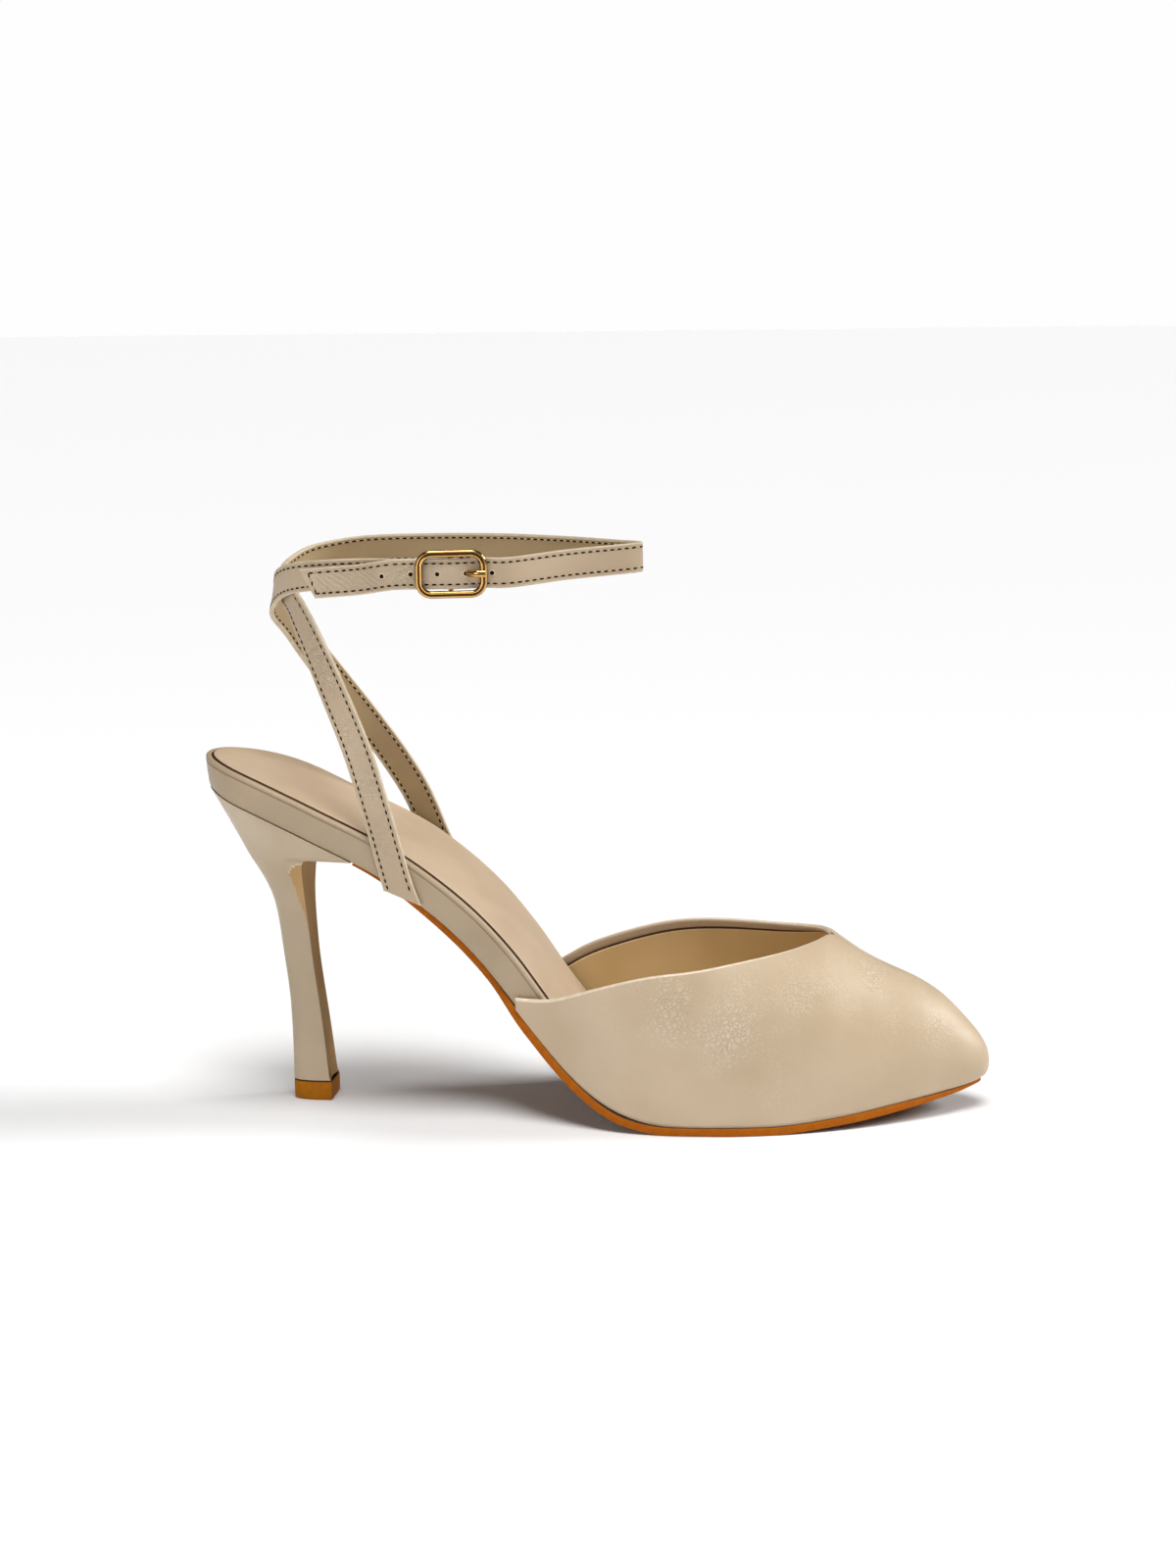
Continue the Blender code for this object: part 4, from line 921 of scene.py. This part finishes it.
def medial_spots():
    """Rows of the medial strap, folded round the buckle's bar."""
    base = [base_spot(1, 0.303, -0.0875, 48.0), base_spot(1, 0.268, 0.60)]
    under = STRAP + WAVE
    spots = [buckle_spot(-1.5 * SIDE_BAR, -1.1 * under), buckle_spot(-0.87 * SIDE_BAR, -1.55 * under),
             buckle_spot(-0.43 * SIDE_BAR, BAR_OUT - FOLD_RADIUS, 0, FOLD),
             buckle_spot(-0.13 * SIDE_BAR, BAR_OUT - FOLD_RADIUS, 0, FOLD)]
    for degrees in (0, 45, 90, 135, 180):
        angle = math.radians(degrees)
        along, out = FOLD_RADIUS * math.sin(angle), BAR_OUT - FOLD_RADIUS * math.cos(angle)
        spots.append(buckle_spot(along, out, degrees, FOLD))
    spots.append(buckle_spot(-0.22 * SIDE_BAR, BAR_OUT + FOLD_RADIUS - FOLD * 0.25, 180, FOLD))
    spots.append(buckle_spot(-0.54 * SIDE_BAR, BAR_OUT + FOLD_RADIUS - FOLD * 0.9, 180, FOLD))
    return base + loop_spots(MEDIAL_LOOP) + spots


def spline(rows, spacing):
    """Rows on a smooth curve through the spots, evenly spaced."""
    rows = np.array(rows, float)
    last = len(rows) - 1
    fine = []
    for i in range(last):
        a, b, c, d = rows[max(i - 1, 0)], rows[i], rows[i + 1], rows[min(i + 2, last)]
        for t in np.arange(24) / 24:
            even = 2 * b + (c - a) * t + (2 * a - 5 * b + 4 * c - d) * t * t
            fine.append((even + (3 * b - a - 3 * c + d) * t**3) / 2)
    fine.append(rows[-1])
    fine = np.array(fine)
    run = run_along(fine[:, :3])
    count = int(run[-1] / spacing)
    at = np.linspace(0, run[-1], count + 1)
    return np.stack([np.interp(at, run, fine[:, c]) for c in range(7)], 1), at


def strap_frames(rows):
    """Middle, tangent, side and outward direction at each row."""
    middle = rows[:, :3]
    tangent = unit(np.gradient(middle, axis=0))
    normal = facing_normal(rows[:, 3], rows[:, 4])
    normal = unit(normal - tangent * np.sum(normal * tangent, 1, keepdims=True))
    return middle, tangent, np.cross(tangent, normal), normal


def strap_section(thick):
    """Outline of a strap as (across, out) rows, and its faces' materials: 0 outer, 1 edge, 2 inner."""
    half, deep = STRAP_WIDTH / 2, thick / 2
    corner = min(0.00042, deep * 0.7)
    groove = np.linspace(-0.0003, 0.0003, 3)
    middle = np.linspace(-CHANNEL + 0.00055, CHANNEL - 0.00055, 9)
    rim = np.linspace(CHANNEL + 0.00045, half - corner, 3)
    outer = []
    for y in np.concatenate([-rim[::-1], groove - CHANNEL, middle, groove + CHANNEL, rim]):
        dip = 0.00011 * math.exp(-((abs(y) - CHANNEL) / 0.00026) ** 2)
        crown = 0.00010 * (1 - (y / half) ** 2)
        outer.append((y, deep - dip + crown - 0.00008))
    right = []
    for degrees, centre in (((25, 50, 75, 90), deep - corner), ((90, 115, 145, 180), corner - deep)):
        for a in np.radians(degrees):
            right.append((half - corner + corner * math.sin(a), centre + corner * math.cos(a)))
    inner = [(y, -deep) for y in np.linspace(half - corner * 1.6, -half + corner * 1.6, 10)]
    left = [(-a, b) for a, b in right[::-1]]
    slots = [0] * (len(outer) - 1) + [1] * (len(right) + 1) + [2] * len(inner) + [1] * len(left)
    return np.array(outer + right + inner + left), slots


def make_strap(name, spots, node, crinkles, pleats=False):
    """Strap along its rows, of which it returns the rows and their distance along it."""
    rows, at = spline(spots, 0.00045)
    middle, tangent, side, normal = strap_frames(rows)
    loops = []
    for i, row in enumerate(rows):
        section, slots = strap_section(row[5])
        across = side[i] + tangent[i] * math.tan(math.radians(row[6]))
        loops.append(middle[i] + section[:, :1] * across + section[:, 1:] * normal[i])
    size = len(loops[0])
    points = np.concatenate(loops)
    faces = grid_faces(len(loops), size, closed=True)
    kinds = [slots[i % size] for i in range(len(faces))] + [1, 1]
    faces += end_faces(len(loops), size)
    end = at[-1]
    amount = np.zeros(len(rows))
    for centre, width, strength in crinkles:
        amount = np.maximum(amount, strength * np.exp(-((at / end - centre) / width) ** 2))
    pleat = step(end - 0.024, end - 0.018, at) * step(end - 0.001, end - 0.006, at) * float(pleats)
    layers = {"crinkle": np.repeat(amount, size), "pleat": np.repeat(pleat, size)}
    add_mesh(name, points, faces, [STRAP_FACE_DARKER, EDGE_PAINT_AND_HIGHLIGHT, LINING], kinds, node, 50, 1e-8, layers)
    return rows, at


def add_lump(shape, spot, frame_at, size, lift, kind):
    """Small rounded lump along a line of stitches; its size is its length, width and height."""
    points, faces, kinds = shape
    along, wide, out = frame_at
    rings, sides = 5, 6
    first = len(points)
    for i in range(rings):
        u = -1 + 2 * i / (rings - 1)
        r = math.sqrt(max(1 - u * u, 0.10))
        for k in range(sides):
            a = math.pi * 2 * k / sides
            points.append(spot + along * (u * size[0] / 2) + wide * (math.cos(a) * r * size[1] / 2)
                          + out * (lift + math.sin(a) * r * size[2] / 2))
    made = grid_faces(rings, sides, closed=True) + end_faces(rings, sides)
    faces += [tuple(first + v for v in face) for face in made]
    kinds += [kind] * len(made)


def strap_point(rows, at, run, across, face):
    """Point on a strap's outer (1) or inner (-1) face, with the directions along, across and out there."""
    middle, tangent, side, normal = strap_frames(rows)
    spot, along, wide, out = [np.array([np.interp(run, at, v[:, c]) for c in range(3)])
                              for v in (middle, tangent, side, normal)]
    thick, skew = np.interp(run, at, rows[:, 5]), np.interp(run, at, rows[:, 6])
    surface = thick / 2 - (0.00009 if face > 0 else 0.0)
    spot = spot + (wide + along * math.tan(math.radians(skew))) * across + out * surface * face
    return spot, along, wide, out * face


def stitches(name, rows, at, start, end, face=1, closing=False):
    """Two rows of thread along a strap with gaps of painted shade, and where wanted a row across its end."""
    shape = ([], [], [])
    runs = np.arange(start, end, PITCH / 2)
    routes = [([(run, line) for run in runs], False) for line in (-CHANNEL, CHANNEL)]
    if closing:
        lines = np.linspace(-CHANNEL * 0.8, CHANNEL * 0.8, 5)
        routes.append(([(end + 0.0004, line) for line in lines], True))
    for route, crosswise in routes:
        for i, (run, line) in enumerate(route):
            spot, along, wide, out = strap_point(rows, at, run, line, face)
            if crosswise:
                along, wide, spot = wide, along, spot + out * 0.00012
            add_lump(shape, spot, (along, wide, out), *(NEEDLE if i % 2 == 0 else STITCH))
    add_mesh(name, shape[0], shape[1], [THREAD, HOLE_SHADE], shape[2])


def make_holes(rows, at):
    """Punched holes of the billet, each a disc of painted shade standing for the hole, in a pressed ring
    painted pale as a highlight.
    """
    late = np.arange(len(rows)) > len(rows) * 0.7
    away = np.linalg.norm(rows[:, :3] - at_buckle(PRONG_HOLE, 0.0, 0.0), axis=1) + np.where(late, 0.0, 1.0)
    prong = at[int(np.argmin(away))]
    points, faces, kinds = [], [], []
    sides = 16
    for k in (-1, 0, 1, 2, 3):
        spot, along, wide, out = strap_point(rows, at, prong + k * HOLE_PITCH, 0.0, 1)
        first = len(points)
        for radius, lift in ((0.00052, 0.00014), (0.00064, 0.00030), (0.00084, 0.00026), (0.00100, 0.00006)):
            for a in np.linspace(0, 2 * math.pi, sides + 1)[:-1]:
                points.append(spot + along * math.cos(a) * radius + wide * math.sin(a) * radius + out * lift)
        for ring in range(3):
            for j in range(sides):
                m = (j + 1) % sides
                low, high = first + ring * sides, first + (ring + 1) * sides
                faces.append((low + j, high + j, high + m, low + m))
                kinds.append(1 if ring == 0 else 0)
        faces.append(tuple(range(first, first + sides)))
        kinds.append(1)
    add_mesh("billet_holes", points, faces, [EDGE_PAINT_AND_HIGHLIGHT, HOLE_SHADE], kinds)


# Buckle

def sweep(name, path, section, closed, materials, node=None, ups=OUTWARD, kinds=None):
    """Section swept along a path; its first axis points along ups."""
    path = np.array(path)
    count, size = len(path), len(section)
    if closed:
        tangent = unit(np.roll(path, -1, 0) - np.roll(path, 1, 0))
    else:
        tangent = unit(np.gradient(path, axis=0))
    points = []
    for p, t in zip(path, tangent):
        out = unit(ups - t * np.dot(ups, t))
        points.append(p + section[:, :1] * out + section[:, 1:] * np.cross(t, out))
    faces = grid_faces(count, size, closed=True)
    if closed:
        last = (count - 1) * size
        for k in range(size):
            m = (k + 1) % size
            faces.append((last + k, last + m, m, k))
    kinds = kinds or [0] * size
    slots = [kinds[i % size] for i in range(len(faces))]
    if not closed:
        faces += end_faces(count, size)
        slots += [0, 0]
    add_mesh(name, np.concatenate(points), faces, materials, slots, node, 60, 1e-8)


def circle(radius, count=14, flat=1.0):
    """Round section, or an oval one where flat isn't 1."""
    angles = np.linspace(0, 2 * np.pi, count + 1)[:-1]
    return np.array([(radius * math.cos(a) * flat, radius * math.sin(a)) for a in angles])


def make_frame():
    """Frame with round corners, a shallow groove along its face, and painted dark reflections in the groove,
    at its outer edges and on its back.
    """
    half_long = SIDE_BAR - BUCKLE_CORNER
    half_high = (BUCKLE_HEIGHT - BUCKLE_WIRE) / 2 - BUCKLE_CORNER
    loop = []
    for corner, (sx, sz) in enumerate(((1, 1), (-1, 1), (-1, -1), (1, -1))):
        for angle in np.radians(corner * 90 + np.linspace(0, 90, 17)):
            along, up = BUCKLE_CORNER * math.cos(angle), BUCKLE_CORNER * math.sin(angle)
            loop.append(at_buckle(sx * half_long + along, FRAME_OUT, sz * half_high + up))
    radius = BUCKLE_WIRE / 2
    section, kinds = [], []
    for a in np.linspace(0, 2 * np.pi, 33)[:-1]:
        out, wide = radius * math.cos(a), radius * math.sin(a) * 1.12
        out -= 0.00034 * math.exp(-(wide / 0.00036) ** 2) if out > 0 else 0.0
        section.append((out, wide))
        # Only a band on each side of the groove stays bright gold; the rest of the front and the back get
        # painted dark reflection
        bright = radius * 0.30 < abs(wide) < radius * 0.92
        kinds.append(1 if out > 0 and not bright or out < -radius * 0.3 else 0)
    sweep("buckle_frame_gold", loop, np.array(section), True, [GOLD, GOLD_DARK_REFLECTION], "buckle_frame", kinds=kinds)


def make_bar():
    """Centre bar, which dips behind the strap between the frame's long sides."""
    rail = (BUCKLE_HEIGHT - BUCKLE_WIRE) / 2
    path = [(FRAME_OUT, rail), (0.0, rail), (BAR_OUT * 0.72, rail * 0.983), (BAR_OUT, rail * 0.862)]
    path += [(out, -up) for out, up in path[::-1]]
    run = np.linspace(0, len(path) - 1, 41)
    fine = soft(np.stack([np.interp(run, range(len(path)), [p[c] for p in path]) for c in (0, 1)], 1), 1.2)
    places = [at_buckle(0.0, out, up) for out, up in fine]
    sweep("buckle_bar_gold", places, circle(BAR_WIRE / 2), False, [GOLD], None, FORWARD)


def make_prong():
    """Prong with its eye round the bar, up through the strap's hole and over the frame."""
    eye = BAR_WIRE / 2 + FIT + PRONG_WIRE / 2
    prong = [(eye * math.cos(a), BAR_OUT - eye * math.sin(a)) for a in np.radians(range(215, -31, -12))]
    over = FRAME_OUT + (BUCKLE_WIRE + PRONG_WIRE) / 2 + FIT
    rest = [(SIDE_BAR * 0.32, BAR_OUT * 0.45), (PRONG_HOLE, WAVE * 0.3),
            (SIDE_BAR * 0.60, FRAME_OUT + PRONG_WIRE * 0.36), (SIDE_BAR * 0.78, over - PRONG_WIRE * 0.18),
            (SIDE_BAR * 1.04, over)]
    keys = np.array([prong[-1]] + rest)
    run = np.linspace(0, len(keys) - 1, 31)[1:]
    marks = np.arange(len(keys), dtype=float)
    prong += [tuple(p) for p in soft(np.stack([smooth(marks, keys[:, c], run) for c in (0, 1)], 1), 1.0)]
    tongue = circle(PRONG_WIRE / 2, 20, 1.7)
    # A painted dark reflection runs along the middle of the prong's wire
    kinds = [1 if abs(up) < PRONG_WIRE * 0.22 else 0 for up, out in tongue]
    places = [at_buckle(along, out, 0.0) for along, out in prong]
    upward = np.array([0.0, 0.0, 1.0])
    sweep("buckle_prong_gold", places, tongue, False, [GOLD, GOLD_DARK_REFLECTION], "buckle_prong", upward, kinds)


# Camera, floor and light

def make_camera():
    """Camera at the photograph's angle."""
    bearing, rise, roll = [math.radians(CAMERA[k]) for k in ("bearing", "rise", "roll")]
    back = Vector((math.sin(bearing) * math.cos(rise), -math.cos(bearing) * math.cos(rise), math.sin(rise)))
    right = (-back).cross(Vector((0, 0, 1))).normalized()
    up = right.cross(-back)
    data = bpy.data.cameras.new("camera")
    data.sensor_fit = "VERTICAL"
    data.sensor_height = 36
    data.lens = CAMERA["focal"] / 1600 * 36
    camera = bpy.data.objects.new("camera", data)
    bpy.context.scene.collection.objects.link(camera)
    level = math.cos(roll) * right + math.sin(roll) * up
    upright = math.cos(roll) * up - math.sin(roll) * right
    place = Matrix((level, upright, back)).transposed().to_4x4()
    place.translation = Vector(CAMERA["aim"]) + Vector(SHIFT) + CAMERA["distance"] * back
    camera.matrix_world = place
    bpy.context.scene.camera = camera


def new_light(name, kind, power, direction):
    """Light that shines in a direction, with its data."""
    data = bpy.data.lights.new(name, kind)
    data.energy = power
    light = bpy.data.objects.new(name, data)
    bpy.context.scene.collection.objects.link(light)
    light.rotation_mode = "QUATERNION"
    light.rotation_quaternion = Vector(direction).to_track_quat("-Z", "Y")
    return light, data


def area_light(name, place, aim, size, power):
    """Soft light of the given length and width at a place."""
    light, data = new_light(name, "AREA", power, Vector(aim) - Vector(place))
    light.location = place
    data.shape = "RECTANGLE"
    data.size, data.size_y = size


def sun_light(name, direction, power, spread):
    """Sun with soft shadows."""
    data = new_light(name, "SUN", power, direction)[1]
    data.angle = math.radians(spread)


def make_floor():
    """Plain pale floor."""
    data = bpy.data.meshes.new("floor")
    size = 8.0
    corners = [(-size, -size, 0), (size, -size, 0), (size, size, 0), (-size, size, 0)]
    data.from_pydata(corners, [], [(0, 1, 2, 3)])
    floor = bpy.data.objects.new("floor", data)
    bpy.context.scene.collection.objects.link(floor)
    data.materials.append(plain("pale_floor", (0.95, 0.95, 0.95, 1.0), 0.8, spread=0.0, depth=0.0))


def make_lights():
    """White room that lights little, a sun from the right, one from above and two soft lights."""
    world = bpy.data.worlds.new("studio")
    bpy.context.scene.world = world
    world.use_nodes = True
    tree = world.node_tree
    seen = add(tree, "ShaderNodeLightPath").outputs["Is Camera Ray"]
    room = tree.nodes["Background"]
    room.inputs["Color"].default_value = (1.0, 1.0, 1.0, 1.0)
    tree.links.new(remap(tree, seen, 0.0, 1.0, 0.06, 0.99), room.inputs["Strength"])
    sun_light("sun_right", (-0.84, -0.20, -0.46), 2.1, 20)
    sun_light("sun_above", (-0.06, 0.26, -0.96), 2.25, 30)
    area_light("soft_top", (0.25, -0.55, 0.95), (0.04, 0, 0.03), (0.45, 0.35), 1.0)
    area_light("soft_front", (-0.45, -1.02, 0.34), (0, 0, 0.06), (0.8, 0.5), 2.75)
    bpy.context.scene.view_settings.view_transform = "Standard"


make_camera()
make_floor()
make_lights()
make_upper()
make_footbed()
make_sock()
make_outsole()
make_heel()
make_top_piece()
lateral_crinkles = [(0.12, 0.08, 0.9), (0.22, 0.06, 1.0), (0.93, 0.06, 1.0)]
lateral, lateral_at = make_strap("strap_outer", lateral_spots(), "strap_lateral", lateral_crinkles, True)
medial, medial_at = make_strap("strap_inner", medial_spots(), "strap_medial", [(0.5, 0.08, 0.6)])
stitches("stitches_outer", lateral, lateral_at, 0.0032, lateral_at[-1] - 0.0020, closing=True)
stitches("stitches_outer_inside", lateral, lateral_at, 0.0060, lateral_at[-1] - 0.0040, face=-1)
stitches("stitches_inner", medial, medial_at, 0.0040, medial_at[-1] - 0.030)
stitches("stitches_inner_inside", medial, medial_at, 0.0080, medial_at[-1] - 0.030, face=-1)
make_holes(lateral, lateral_at)
make_frame()
make_bar()
make_prong()
